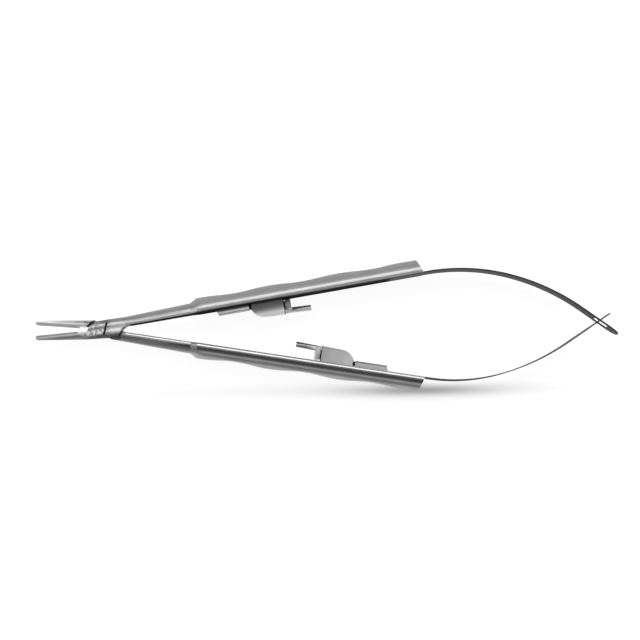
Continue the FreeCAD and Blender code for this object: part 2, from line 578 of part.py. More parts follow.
def leaf_bend(kind, radius_change, beyond):
    """A point past the two bends of a leaf: radius_change out from its middle, beyond its end."""
    first = f"{kind}_root_radius"
    turn = f"({kind}_end_turn)"
    hub_along = f"leaf_bend + ({first} - {kind}_radius) * sin({kind}_root_turn)"
    hub_up = (f"leaf_thickness / 2 - {first} + ({first} - {kind}_radius) * cos({kind}_root_turn)")
    radius = f"({kind}_radius + {radius_change})"
    return (f"{hub_along} + {radius} * sin{turn} + {beyond} * cos{turn}",
            f"{hub_up} + {radius} * cos{turn} - {beyond} * sin{turn}")


def add_leaf_strip(body, kind):
    """Spring strip that lies flush in the handle, leaves its end and bends towards the other one."""
    half = "leaf_thickness / 2"
    root = f"{kind}_root_radius"

    def between(change):
        radius = f"({root} + {change})"
        return (f"leaf_bend + {radius} * sin({kind}_root_turn)",
                f"{half} - {root} + {radius} * cos({kind}_root_turn)")

    side = [
        ("leaf_seat", "0"),
        ("leaf_bend", "0", f"({root} - {half})", -1),
        (*between(f"-{half}"), f"({kind}_radius - {half})", -1),
        leaf_bend(kind, f"-{half}", "0"),
        leaf_bend(kind, f"-{half}", f"{kind}_straight"),
        leaf_bend(kind, half, f"{kind}_straight"),
        (*leaf_bend(kind, half, "0"), f"({kind}_radius + {half})", 1),
        (*between(half), f"({root} + {half})", 1),
        ("leaf_bend", "leaf_thickness"),
        ("leaf_seat", "leaf_thickness"),
    ]
    swept(body, "strip", "Pad", outline(body, "strip_side", "XY_Plane", side), "leaf_width", both_ways=True)
    bend_end = leaf_bend(kind, half, "0")[0]
    for across, name in ((1, "near_side"), (-1, "far_side")):
        taper = [("handle_end", f"{across} * leaf_width / 2"), (bend_end, f"{across} * leaf_end_width / 2"),
                 (f"{bend_end} + 2 * {kind}_straight", f"{across} * leaf_end_width / 2"),
                 (f"{bend_end} + 2 * {kind}_straight", f"{across} * leaf_width"),
                 ("handle_end", f"{across} * leaf_width")]
        swept(body, name, "Pocket", outline(body, f"{name}_plan", "XZ_Plane", taper), "2 * handle_end",
              both_ways=True)
    holes = circles(body, "rivets", "XZ_Plane", leaf_rivet_centres(), "leaf_rivet_radius")
    swept(body, "rivet_holes", "Pocket", holes, "leaf_rivet_depth")


def cut_leaf_end(body, kind, name, corners):
    """Cuts the straight end of a leaf in plan: along from the bend, and across the strip."""
    along, up = leaf_bend(kind, "leaf_thickness", "0")
    sketch = outline(body, f"{name}_plan", "XZ_Plane", corners, (along, "0", f"-({up})"),
                     f"-{kind}_end_turn")
    swept(body, name, "Pocket", sketch, "3 * leaf_thickness", backwards=True)


def build_slotted_leaf():
    """Upper leaf, with a rounded end and the slot that takes the tongue."""
    body = new_body("slotted_spring_leaf")
    add_leaf_strip(body, "slot_leaf")
    beyond = "slot_leaf_straight + leaf_width"
    for side, name in ((1, "near_corner"), (-1, "far_corner")):
        edge = f"{side} * leaf_width / 2"
        inset = f"{side} * (leaf_width / 2 - slot_leaf_nose)"
        past = f"{side} * leaf_width"
        corners = [("slot_leaf_straight - slot_leaf_nose", edge, "slot_leaf_nose", -side),
                   ("slot_leaf_straight", inset), (beyond, inset), (beyond, past),
                   ("slot_leaf_straight - slot_leaf_nose", past)]
        cut_leaf_end(body, "slot_leaf", name, corners)
    far = "slot_leaf_straight - leaf_slot_margin"
    near = f"{far} - leaf_slot_length"
    half = "leaf_slot_width / 2"
    cut_leaf_end(body, "slot_leaf", "slot", [(near, f"-{half}"), (far, f"-{half}"), (far, half), (near, half)])
    return body


def build_tongue_leaf():
    """Lower leaf, which narrows to a shoulder and ends in the tongue."""
    body = new_body("tongue_spring_leaf")
    add_leaf_strip(body, "tongue_leaf")
    shoulder = "tongue_leaf_cross - tongue_neck"
    beyond = "tongue_leaf_straight + leaf_width"
    for side, name in ((1, "near_taper"), (-1, "far_taper")):
        past = f"{side} * leaf_width"
        corners = [("0", f"{side} * leaf_width / 2"),
                   (shoulder, f"{side} * tongue_shoulder_width / 2"),
                   (shoulder, f"{side} * tongue_width / 2"),
                   (beyond, f"{side} * tongue_width / 2"), (beyond, past), ("0", past)]
        cut_leaf_end(body, "tongue_leaf", name, corners)
    return body


def build_leaf_rivet(label, at):
    """Flush rivet through a leaf into its handle."""
    body = new_body(label)
    sketch = circles(body, "plan", "XZ_Plane", [(at, "0")], "leaf_rivet_radius")
    swept(body, "pin", "Pad", sketch, "leaf_rivet_depth", backwards=True)
    return body


def catch_rivet_centres(origin, direction):
    """Places of a catch's rivets along its handle."""
    return [(f"{origin} + {direction} * (catch_rivet_first + {count} * catch_rivet_spacing)", "0")
            for count in range(2)]


# A catch is drawn in its own frame: X from its bar's free end to its hook, with the handle's
# inner face at height 0 and the catch standing below it.
HOUSING_BACK = "(bar_length + housing_gap)"
HOUSING_FRONT = "(bar_length + housing_gap + housing_length)"
PIVOT = f"({HOUSING_FRONT} - pivot_setback)"
TAIL = f"({HOUSING_FRONT} - lever_tail)"
CHANNEL_BACK = f"({HOUSING_FRONT} - channel_length)"


def build_catch_base(label):
    """Bar with a leaning end, a narrow web behind it, and the floor strip under the housing."""
    body = new_body(label)
    bar = [("0", "0"), ("bar_slant", "-bar_height"), ("bar_length", "-bar_height"), ("bar_length", "0")]
    swept(body, "bar", "Pad", outline(body, "bar_side", "XY_Plane", bar), "catch_width", both_ways=True)
    web_end = f"({HOUSING_BACK} - floor_fit)"
    web_top = "-(bar_height - web_drop)"
    strip = [("bar_length", "0"), ("bar_length", web_top), (web_end, web_top), (web_end, "-floor_height"),
             (HOUSING_FRONT, "-floor_height"), (HOUSING_FRONT, "0")]
    swept(body, "floor", "Pad", outline(body, "floor_side", "XY_Plane", strip), "floor_width", both_ways=True)
    rivets = [(f"catch_rivet_first + {count} * catch_rivet_spacing", "0") for count in range(2)]
    holes = circles(body, "rivets", "XZ_Plane", rivets, "catch_rivet_radius")
    swept(body, "rivet_holes", "Pocket", holes, "2 * bar_height", backwards=True)
    bore = circles(body, "pin_bore", "XZ_Plane", [(PIVOT, "0")], "pin_radius")
    swept(body, "bore", "Pocket", bore, "2 * floor_height", backwards=True)
    return body


def build_catch_housing(label):
    """Domed cover over the floor strip, with a channel that is open at the hook's end."""
    body = new_body(label)
    side = [
        (HOUSING_BACK, "0"),
        (HOUSING_BACK, "-housing_foot", "dome_radius", 1),
        (f"{HOUSING_BACK} + dome_length", "-dome_height"),
        (HOUSING_FRONT, "-housing_height"),
        (HOUSING_FRONT, "0"),
    ]
    swept(body, "cover", "Pad", outline(body, "cover_side", "XY_Plane", side), "catch_width", both_ways=True)
    channel = [(CHANNEL_BACK, "0"), (CHANNEL_BACK, "-channel_height"),
               (f"{HOUSING_FRONT} + stem_gap", "-channel_height"), (f"{HOUSING_FRONT} + stem_gap", "0")]
    swept(body, "channel", "Pocket", outline(body, "channel_side", "XY_Plane", channel), "channel_width",
          both_ways=True)
    groove = [("bar_length", "0"), ("bar_length", "-floor_height"), (CHANNEL_BACK, "-floor_height"),
              (CHANNEL_BACK, "0")]
    swept(body, "groove", "Pocket", outline(body, "groove_side", "XY_Plane", groove),
          "floor_width + 2 * floor_fit", both_ways=True)
    blade = [(f"{CHANNEL_BACK} - blade_root", "-blade_foot"),
             (f"{CHANNEL_BACK} - blade_root", "-blade_foot - blade_height"),
             (CHANNEL_BACK, "-blade_foot - blade_height"), (CHANNEL_BACK, "-blade_foot")]
    swept(body, "blade_seat", "Pocket", outline(body, "blade_seat_side", "XY_Plane", blade), "blade_thickness",
          both_ways=True)
    bore = circles(body, "pin_bore", "XZ_Plane", [(PIVOT, "0")], "pin_radius")
    swept(body, "bore", "Pocket", bore, "2 * housing_height", backwards=True)
    return body


def build_catch_hook(label):
    """Lever that swings in the channel, with a stem and a lip outside it."""
    body = new_body(label)
    stem_back = f"({HOUSING_FRONT} + stem_gap)"
    stem_front = f"({stem_back} + stem_thickness)"
    lip_end = f"({stem_back} + lip_reach)"
    lever_foot = "-(floor_height + lever_lift)"
    rise = "(lip_top - stem_top) / lip_reach"
    side = [
        (TAIL, lever_foot),
        (TAIL, "-lever_top"),
        (stem_back, "-lever_top"),
        (stem_back, "-stem_top"),
        (lip_end, "-lip_top"),
        (lip_end, "-(lip_top - lip_thickness)"),
        (stem_front, f"-(stem_top + stem_thickness * {rise} - lip_thickness)"),
        (stem_front, "-stem_foot"),
        (stem_back, "-stem_foot"),
        (stem_back, lever_foot),
    ]
    swept(body, "lever", "Pad", outline(body, "lever_side", "XY_Plane", side), "lever_thickness", both_ways=True)
    for across, name in ((1, "near_bevel"), (-1, "far_bevel")):
        edge = f"{across} * lever_thickness / 2"
        bevel = [("-lip_top", f"{edge} - {across} * lip_bevel"), ("-lip_top + lip_bevel", edge),
                 ("-lip_top + lip_bevel", f"{across} * lever_thickness"), ("-2 * lip_top", f"{across} * lever_thickness"),
                 ("-2 * lip_top", f"{edge} - {across} * lip_bevel")]
        sketch = outline(body, f"{name}_section", "YZ_Plane", bevel, ("0", "0", lip_end))
        swept(body, name, "Pocket", sketch, "lip_reach - stem_thickness")
    bore = circles(body, "pin_bore", "XZ_Plane", [(PIVOT, "0")], "pin_radius + pin_run_fit")
    swept(body, "bore", "Pocket", bore, "2 * housing_height", backwards=True)
    play = "(blade_thickness / 2 + blade_play)"
    slot = [(f"{TAIL} - blade_play", f"-{play}"), (f"{TAIL} + lever_slot", f"-{play}"),
            (f"{TAIL} + lever_slot", play), (f"{TAIL} - blade_play", play)]
    swept(body, "blade_slot", "Pocket", outline(body, "blade_slot_plan", "XZ_Plane", slot), "2 * housing_height",
          backwards=True)
    return body


def build_catch_pin(label):
    """Pin that the lever swings on, through the housing's roof and the floor strip."""
    body = new_body(label)
    sketch = circles(body, "plan", "XZ_Plane", [(PIVOT, "0")], "pin_radius")
    swept(body, "pin", "Pad", sketch, "dome_height")
    return body


def build_catch_blade(label):
    """Small upright blade that keeps the lever in the middle of its channel."""
    body = new_body(label)
    start = f"({CHANNEL_BACK} - blade_root)"
    side = [(start, "-blade_foot"), (start, "-blade_foot - blade_height"),
            (f"{start} + blade_length", "-blade_foot - blade_height"), (f"{start} + blade_length", "-blade_foot")]
    swept(body, "blade", "Pad", outline(body, "blade_side", "XY_Plane", side), "blade_thickness", both_ways=True)
    return body


def build_catch_rivet(label, count):
    """Flush rivet through the bar into the handle."""
    body = new_body(label)
    centre = (f"catch_rivet_first + {count} * catch_rivet_spacing", "0")
    sketch = circles(body, "plan", "XZ_Plane", [centre], "catch_rivet_radius", ("0", "0", "bar_height"))
    swept(body, "pin", "Pad", sketch, "bar_height + catch_rivet_depth", backwards=True)
    return body


# Places at rest: the jaws are open, the handles' side lands lie on the ground plane and the
# origin is under the middle of the whole instrument.
splay = value("rest_splay")
tail_along, tail_up = leaf_bend("slot_leaf", "0", "slot_leaf_straight")
tail = value(f"({tail_along}) * cos(rest_splay) - ({tail_up}) * sin(rest_splay)")
front = value("jaw_reach * cos(jaw_opening / 2)")
joint = FreeCAD.Vector((front - tail) / 2, 0, value("handle_width / 2"))
UPPER = FreeCAD.Placement(joint, FreeCAD.Rotation(FreeCAD.Vector(0, 0, 1), splay))
LOWER = FreeCAD.Placement(joint, FreeCAD.Rotation(FreeCAD.Vector(0, 0, 1), -splay)
                          * FreeCAD.Rotation(FreeCAD.Vector(1, 0, 0), 180))
UPPER_CATCH = UPPER * FreeCAD.Placement(FreeCAD.Vector(value("upper_catch"), 0, 0), FreeCAD.Rotation())
LOWER_CATCH = LOWER * FreeCAD.Placement(FreeCAD.Vector(value("lower_catch"), 0, 0),
                                        FreeCAD.Rotation(FreeCAD.Vector(0, 1, 0), 180))

pieces = []


def place(body, placement):
    body.Placement = placement
    pieces.append(body)


place(build_box_half(), UPPER)
place(build_tang_half(), LOWER)
place(build_screw(), UPPER)
place(build_insert("lower_jaw_insert"), UPPER)
place(build_insert("upper_jaw_insert"), LOWER)
place(build_slotted_leaf(), UPPER)
place(build_tongue_leaf(), LOWER)
for side, placement in (("upper", UPPER), ("lower", LOWER)):
    for name, (at, across) in zip(("front", "rear"), leaf_rivet_centres()):
        place(build_leaf_rivet(f"{side}_leaf_rivet_{name}", at), placement)
for side, placement in (("upper", UPPER_CATCH), ("lower", LOWER_CATCH)):
    place(build_catch_base(f"{side}_catch_base"), placement)
    place(build_catch_housing(f"{side}_catch_housing"), placement)
    place(build_catch_hook(f"{side}_catch_hook"), placement)
    place(build_catch_pin(f"{side}_catch_pin"), placement)
    place(build_catch_blade(f"{side}_catch_blade"), placement)
    for count, name in enumerate(("end", "middle")):
        place(build_catch_rivet(f"{side}_catch_rivet_{name}", count), placement)
doc.recompute()

for item in doc.Objects:
    if "Invalid" in item.State or "Error" in item.State:
        raise RuntimeError(f"{item.Label} failed: {item.State}")
os.makedirs("parts", exist_ok=True)
for body in pieces:
    if body.Shape.isNull() or not body.Shape.isValid():
        raise RuntimeError(f"{body.Label} has no valid shape")
    if len(body.Shape.Solids) != 1:
        raise RuntimeError(f"{body.Label} has {len(body.Shape.Solids)} solids")
    body.Shape.exportStep(f"parts/{body.Label}.step")
    print(f"{body.Label}: {body.Shape.Volume:.2f} cubic millimetres")
box = Part.makeCompound([body.Shape for body in pieces]).BoundBox
print(f"whole: {box.XLength:.2f} x {box.YLength:.2f} x {box.ZLength:.2f} mm, "
      f"x {box.XMin:.2f} to {box.XMax:.2f}, y {box.YMin:.2f} to {box.YMax:.2f}, z {box.ZMin:.2f} to {box.ZMax:.2f}")
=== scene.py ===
# %% [markdown]
# # A spring-handled needle holder on a white sheet
# The instrument is held like a pen and closed by squeezing its two handles. Its solid pieces come from
# the CAD model, which is loaded first and never changed. Blender adds what that model leaves out: the
# finish of each steel, the fine teeth of the jaws, and leaf springs built as meshes of their own.

# %% Load the instrument
import json
import math

import bmesh
import bpy
from mathutils import Matrix, Vector


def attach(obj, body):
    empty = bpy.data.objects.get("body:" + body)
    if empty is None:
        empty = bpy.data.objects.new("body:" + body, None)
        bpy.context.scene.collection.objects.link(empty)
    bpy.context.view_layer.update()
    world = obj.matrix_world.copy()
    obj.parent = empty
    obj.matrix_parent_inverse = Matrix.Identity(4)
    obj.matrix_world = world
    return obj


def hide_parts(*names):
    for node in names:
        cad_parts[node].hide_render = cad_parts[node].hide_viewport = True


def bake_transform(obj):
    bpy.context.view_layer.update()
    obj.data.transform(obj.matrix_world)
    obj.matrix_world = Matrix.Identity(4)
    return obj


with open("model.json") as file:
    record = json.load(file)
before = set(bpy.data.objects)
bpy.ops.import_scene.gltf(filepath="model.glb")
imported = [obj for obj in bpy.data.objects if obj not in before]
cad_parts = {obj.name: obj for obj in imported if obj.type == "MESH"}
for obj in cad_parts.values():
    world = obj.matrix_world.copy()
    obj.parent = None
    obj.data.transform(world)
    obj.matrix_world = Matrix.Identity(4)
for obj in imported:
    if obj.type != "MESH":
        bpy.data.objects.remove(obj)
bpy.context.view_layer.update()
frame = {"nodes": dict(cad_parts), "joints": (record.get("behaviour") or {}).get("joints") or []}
print("pieces in the model:", len(frame["nodes"]))

# %% [markdown]
# ## Where things are
# The screw of the box joint is the origin of both halves, so its place is read from the joint in
# the record. Each half has its own frame: one number along the handle, one out from its inner
# face, one across the instrument. A small function turns these three into a place in the room.
# Working in such a frame keeps every later number close to what a maker would measure.

# %% Frames of the two halves and of the two jaws
mm = 0.001
joint = next(item for item in frame["joints"] if item["name"] == "box_joint")
screw = Vector(joint["pos_m"])
jaws_open = joint["range_deg"][1]
closed_splay = 4.85
splay = closed_splay + jaws_open / 2


def half_place(half, along, out, across, turn=splay):
    """A place in the room from millimetres in the frame of the upper (1) or lower (-1) half."""
    angle = math.radians(turn)
    x = along * math.cos(angle) - out * math.sin(angle)
    y = along * math.sin(angle) + out * math.cos(angle)
    return screw + Vector((x, half * y, half * across)) * mm


def jaw_place(half, ahead, out, across):
    """The same in a jaw's frame, where the grip plane is at height 0 and the tips are ahead."""
    return half_place(half, -ahead, out, across, jaws_open / 2)


print("screw at", [round(v / mm, 2) for v in screw], "mm")
print("each handle splayed", round(splay, 2), "degrees")

# %% [markdown]
# ## The camera
# The photograph was taken with a longish lens from about 33 cm, square to the instrument and a
# little below its middle line. The camera is placed by a point that it looks from, a point that it
# looks at and a slight roll, because those three numbers can be measured. A camera looks along its
# own minus Z, so the three axes of its matrix are right, up and backwards.

# %% Set the camera
looks_from = screw + Vector((50.085, -24.922, 328.913)) * mm
looks_at = screw + Vector((50.085, 1.615, 0)) * mm
roll = math.radians(-0.752)
forward = (looks_at - looks_from).normalized()
level = forward.cross(Vector((0, 1, 0))).normalized()
upward = level.cross(forward)
right = level * math.cos(roll) + upward * math.sin(roll)
top = upward * math.cos(roll) - level * math.sin(roll)
film_width = 36
picture_width = 640
focal_pixels = 1405.385
lens = bpy.data.cameras.new("camera")
lens.sensor_width = film_width
lens.lens = focal_pixels * film_width / picture_width
lens.clip_start = 0.01
camera = bpy.data.objects.new("camera", lens)
bpy.context.scene.collection.objects.link(camera)
camera.matrix_world = Matrix((
    (right.x, top.x, -forward.x, looks_from.x),
    (right.y, top.y, -forward.y, looks_from.y),
    (right.z, top.z, -forward.z, looks_from.z),
    (0, 0, 0, 1)))
bpy.context.scene.camera = camera
bpy.context.scene.view_settings.view_transform = "Standard"
print("lens", round(lens.lens, 1), "mm, distance", round((looks_at - looks_from).length, 3), "m")

# %% [markdown]
# ## Nodes without a mouse
# A material is a small graph. Each finish below needs the same few steps: make a node, set its
# sockets, join it to the next. These helpers keep the graphs short. Finishes are driven by the
# object's own coordinates, so they stay on the metal when a handle turns.

# %% Helpers for finishes
def add_node(tree, kind, **settings):
    """A node with its properties set by name and its sockets by the names in a dictionary."""
    node = tree.nodes.new(kind)
    for socket, amount in settings.pop("sockets", {}).items():
        node.inputs[socket].default_value = amount
    for name, amount in settings.items():
        setattr(node, name, amount)
    return node


def join(tree, source, target):
    """A link from an output to an input."""
    tree.links.new(source, target)


def brushed_noise(tree, stretch, size, detail=4.0, roughness=0.6):
    """Noise in the piece's own coordinates, stretched along some axes to look brushed."""
    place = add_node(tree, "ShaderNodeTexCoord")
    squeeze = add_node(tree, "ShaderNodeMapping", sockets={"Scale": stretch})
    noise = add_node(tree, "ShaderNodeTexNoise",
                     sockets={"Scale": size, "Detail": detail, "Roughness": roughness})
    join(tree, place.outputs["Object"], squeeze.inputs["Vector"])
    join(tree, squeeze.outputs["Vector"], noise.inputs["Vector"])
    return noise.outputs["Fac"]


def spread(tree, source, low, high, start=0.3, end=0.7):
    """A number that goes from low to high while source goes from start to end."""
    node = add_node(tree, "ShaderNodeMapRange",
                    sockets={"From Min": start, "From Max": end, "To Min": low, "To Max": high})
    join(tree, source, node.inputs["Value"])
    return node.outputs["Result"]


def mixed(tree, amount, first, second):
    """A colour between two others. Either one is a colour or a socket."""
    node = add_node(tree, "ShaderNodeMix", data_type="RGBA")
    join(tree, amount, node.inputs["Factor"])
    for colour, name in ((first, "A"), (second, "B")):
        socket = [item for item in node.inputs if item.name == name and item.type == "RGBA"][0]
        if isinstance(colour, tuple):
            socket.default_value = (*colour, 1)
        else:
            join(tree, colour, socket)
    return [item for item in node.outputs if item.type == "RGBA"][0]


# %% Helpers for tones
def numbers(tree, operation, first, second, third=None):
    """One step of arithmetic between sockets and plain numbers."""
    node = add_node(tree, "ShaderNodeMath", operation=operation)
    for index, amount in enumerate((first, second, third)):
        if amount is None:
            continue
        if isinstance(amount, (int, float)):
            node.inputs[index].default_value = amount
        else:
            join(tree, amount, node.inputs[index])
    return node.outputs["Value"]


def tones(tree, source, stops, low=-1.0, high=1.0):
    """Greys at given values of a socket, blended between them."""
    ramp = add_node(tree, "ShaderNodeValToRGB")
    bar = ramp.color_ramp
    places = [(value - low) / (high - low) for value, _ in stops]
    bar.elements[0].position = places[0]
    bar.elements[1].position = places[-1]
    for place in places[1:-1]:
        bar.elements.new(place)
    for element, (_, grey) in zip(bar.elements, stops):
        element.color = (grey, grey, grey, 1)
    share = numbers(tree, "MULTIPLY_ADD", source, 1 / (high - low), -low / (high - low))
    join(tree, share, ramp.inputs["Fac"])
    return ramp.outputs["Color"]


def multiplied(tree, first, second):
    """One colour darkened by another."""
    node = add_node(tree, "ShaderNodeMix", data_type="RGBA", blend_type="MULTIPLY",
                    sockets={"Factor": 1.0})
    colours = [item for item in node.inputs if item.type == "RGBA"]
    join(tree, first, colours[0])
    join(tree, second, colours[1])
    return [item for item in node.outputs if item.type == "RGBA"][0]


def place_axes(tree, output):
    """The x, y and z sockets of the piece's own coordinates ("Object") or facing ("Normal")."""
    place = add_node(tree, "ShaderNodeTexCoord")
    axes = add_node(tree, "ShaderNodeSeparateXYZ")
    join(tree, place.outputs[output], axes.inputs["Vector"])
    return axes.outputs


# %% [markdown]
# ## One recipe for steel
# Instrument steel is a bare metal, so metallic is 1 and its colour is a nearly neutral grey. What
# tells one finish from another is roughness and its grain: blasted metal is even and matt, a
# ground flat has fine lines along it, a rolled spring is dark and smooth. The recipe takes a dark
# and a light tone that a soft cloud mixes, a range of roughness, and a bump made of the lines.

# %% The steel recipe
even = (1, 1, 1)
along_handle = (1, 9, 9)
ground_dark = (0.84, 0.84, 0.85)
white = (1, 1, 1)
fine_depth = 0.00001


def steel(name, dark, light, rough, lines, line_size, depth, cloud_size=260.0):
    """A bare steel. Returns the material, its graph, its shader and the colour socket."""
    metal = bpy.data.materials.new(name)
    metal.use_nodes = True
    tree = metal.node_tree
    shader = tree.nodes["Principled BSDF"]
    shader.inputs["Metallic"].default_value = 1.0
    cloud = brushed_noise(tree, even, cloud_size, 5.0)
    grain = brushed_noise(tree, lines, line_size, 6.0, 0.7)
    colour = mixed(tree, spread(tree, cloud, 0, 1), dark, light)
    join(tree, colour, shader.inputs["Base Color"])
    join(tree, spread(tree, grain, *rough), shader.inputs["Roughness"])
    bump = add_node(tree, "ShaderNodeBump", sockets={"Strength": 0.35, "Distance": depth})
    join(tree, grain, bump.inputs["Height"])
    join(tree, bump.outputs["Normal"], shader.inputs["Normal"])
    return metal, tree, shader, colour


def finish_node(name, metal):
    """Gives a piece of the CAD model its finish."""
    piece = frame["nodes"][name]
    for slot in piece.material_slots:
        slot.link = "OBJECT"
        slot.material = metal
    print(name, "->", metal.name)


# %% [markdown]
# ## Finish of the two forgings
# A forging is not one tone all round: the reflections and shade on it are painted into its colour as
# bands. The inner faces get painted shade, a plain dark grey, and the corner next to them, the narrow
# flat beside it and the rounded back get bands of painted highlight and painted shade. These bands run
# along the instrument, so the tone follows from the distance to the inner face, in the half's own
# frame. The jaws and the cheeks of the box have bands of their own, and soft masks lead from one set to
# the next. Where shade is painted on the inner faces, the metal share goes to 0, and what is left is a
# plain dark surface.

# %% Helpers for places on a half
def offset_from_screw(tree):
    """Where a spot is, counted from the screw, in the piece's own coordinates."""
    place = add_node(tree, "ShaderNodeTexCoord")
    offset = add_node(tree, "ShaderNodeVectorMath", operation="SUBTRACT")
    offset.inputs[1].default_value = screw
    join(tree, place.outputs["Object"], offset.inputs[0])
    return offset.outputs["Vector"]


def distance_along(tree, offset, direction):
    """How far a spot lies along a direction, in metres."""
    along = add_node(tree, "ShaderNodeVectorMath", operation="DOT_PRODUCT")
    along.inputs[1].default_value = direction
    join(tree, offset, along.inputs[0])
    return along.outputs["Value"]


def handle_outward(half):
    """From the inner face of a handle towards its back."""
    return (half_place(half, 0, 1, 0) - screw).normalized()


def jaw_outward(half):
    """From the grip plane of a half's jaw towards its back."""
    return (jaw_place(half, 0, -1, 0) - screw).normalized()


# %% Painted shade lines at the gaps of the box
gap_shade_reach = 0.36


def near_line(tree, offset, through, direction, reach):
    """1 on a line across the near side, 0 farther from it than reach, all in millimetres."""
    across = Vector((direction[1], -direction[0], 0)).normalized()
    line_at = Vector((*through, 0)).dot(across) * mm
    away = numbers(tree, "SUBTRACT", distance_along(tree, offset, across), line_at)
    return spread(tree, numbers(tree, "ABSOLUTE", away, 0), 1, 0, reach * 0.7 * mm, reach * mm)


def gap_shade_lines(tree, offset, facing):
    """Painted shade in the two gaps between the box and the tang, on their flat sides."""
    height = distance_along(tree, offset, (0, 1, 0))
    front = numbers(tree, "MULTIPLY", near_line(tree, offset, (-3.36, 1.34), (0.76, 0.65), gap_shade_reach),
                    spread(tree, height, 0, 1, 0.3 * mm, 0.5 * mm))
    rear = numbers(tree, "MULTIPLY", near_line(tree, offset, (3.83, -0.59), (0.31, 0.95), gap_shade_reach),
                   spread(tree, height, 1, 0, 0.1 * mm, 0.4 * mm))
    both = numbers(tree, "MAXIMUM", front, rear)
    flat_side = spread(tree, numbers(tree, "ABSOLUTE", facing["Z"], 0), 0, 1, 0.3, 0.5)
    return numbers(tree, "MULTIPLY", both, flat_side)


# %% Painted highlight streaks of the cheek
cheek_highlight_tones = [(-3, 0.15), (-1.5, 0.15), (-1.25, 0.3), (-0.85, 0.75), (-0.6, 1), (-0.3, 1),
               (-0.1, 0.7), (0.2, 0.45), (0.55, 0.42), (0.8, 0.85), (1.1, 0.95), (1.3, 0.6),
               (1.5, 0.27), (3, 0.3)]
speckle_size = 1500.0


def in_millimetres(stops):
    """The same stops with their distances in metres, as sockets have them."""
    return [(at * mm, grey) for at, grey in stops]


def cheek_mottle_and_highlights(tree, offset):
    """The blasted cheek: two painted highlight streaks on painted shade, broken up by coarse speckles.
    """
    cheek_up = distance_along(tree, offset, (-0.12, 0.993, 0))
    # The streaks are painted highlights and painted shade; the speckles are the grain of the blasted
    # cheek.
    streaks = tones(tree, cheek_up, in_millimetres(cheek_highlight_tones), -3 * mm, 3 * mm)
    speckle = brushed_noise(tree, even, speckle_size, 3.0)
    mottle = mixed(tree, spread(tree, speckle, 0, 1, 0.42, 0.56), (0.4, 0.4, 0.41), white)
    beside_slot = spread(tree, distance_along(tree, offset, (1, 0, 0)), 1, 0, 0.6 * mm, 1.6 * mm)
    return multiplied(tree, streaks, mixed(tree, beside_slot, white, mottle))


print("the streaks of the cheek have", len(cheek_highlight_tones), "tones")

# %% One forging
ground_lines = 420.0
ground_depth = 0.00002
shoulder_band = (-23 * mm, -21 * mm)
jaw_band = (2.0 * mm, 5.0 * mm)
cheek_band = (3.4 * mm, 6.8 * mm)
# Where the inner faces of a half get painted shade.
painted_shade_band = (-6 * mm, -5 * mm)
painted_shade_facing = (0.93, 0.975)
painted_shade_grey = (0.085, 0.085, 0.087)


def forging(name, half, rough, handle_tones, shank_tones, jaw_tones, has_cheeks):
    """Steel of one half, with painted reflections and painted shade. Tones are greys at distances in
    millimetres.
    """
    metal, tree, shader, colour = steel(name, ground_dark, white, rough, along_handle,
                                        ground_lines, ground_depth)
    offset = offset_from_screw(tree)
    facing = place_axes(tree, "Normal")
    ahead = distance_along(tree, offset, (-1, 0, 0))
    handle_out = distance_along(tree, offset, handle_outward(half))
    jaw_out = distance_along(tree, offset, jaw_outward(half))
    # The tones paint reflections and shade as bands across the handle, the shank and the jaw.
    on_handle = tones(tree, handle_out, in_millimetres(handle_tones), -1 * mm, 5 * mm)
    on_shank = tones(tree, handle_out, in_millimetres(shank_tones), -1 * mm, 5 * mm)
    on_jaw = tones(tree, jaw_out, in_millimetres(jaw_tones), -1 * mm, 3 * mm)
    tone = mixed(tree, spread(tree, ahead, 0, 1, *shoulder_band), on_handle, on_shank)
    tone = mixed(tree, spread(tree, ahead, 0, 1, *jaw_band), tone, on_jaw)
    dull = 0
    if has_cheeks:
        near_screw = spread(tree, numbers(tree, "ABSOLUTE", ahead, 0), 1, 0, *cheek_band)
        tone = mixed(tree, near_screw, tone, cheek_mottle_and_highlights(tree, offset))
        dull = numbers(tree, "MULTIPLY", near_screw, 0.5)
    # Painted shade: the inner faces and the gaps of the box turn a plain dark grey with no mirror.
    inward = numbers(tree, "MULTIPLY", facing["Y"], -half)
    skin = numbers(tree, "MULTIPLY", spread(tree, inward, 0, 1, *painted_shade_facing),
                   spread(tree, ahead, 1, 0, *painted_shade_band))
    skin = numbers(tree, "MAXIMUM", skin, gap_shade_lines(tree, offset, facing))
    tone = multiplied(tree, colour, tone)
    join(tree, mixed(tree, skin, tone, painted_shade_grey), shader.inputs["Base Color"])
    bare = numbers(tree, "SUBTRACT", 1, numbers(tree, "MAXIMUM", skin, dull))
    join(tree, bare, shader.inputs["Metallic"])
    shader.inputs["Specular IOR Level"].default_value = 0.0
    return metal


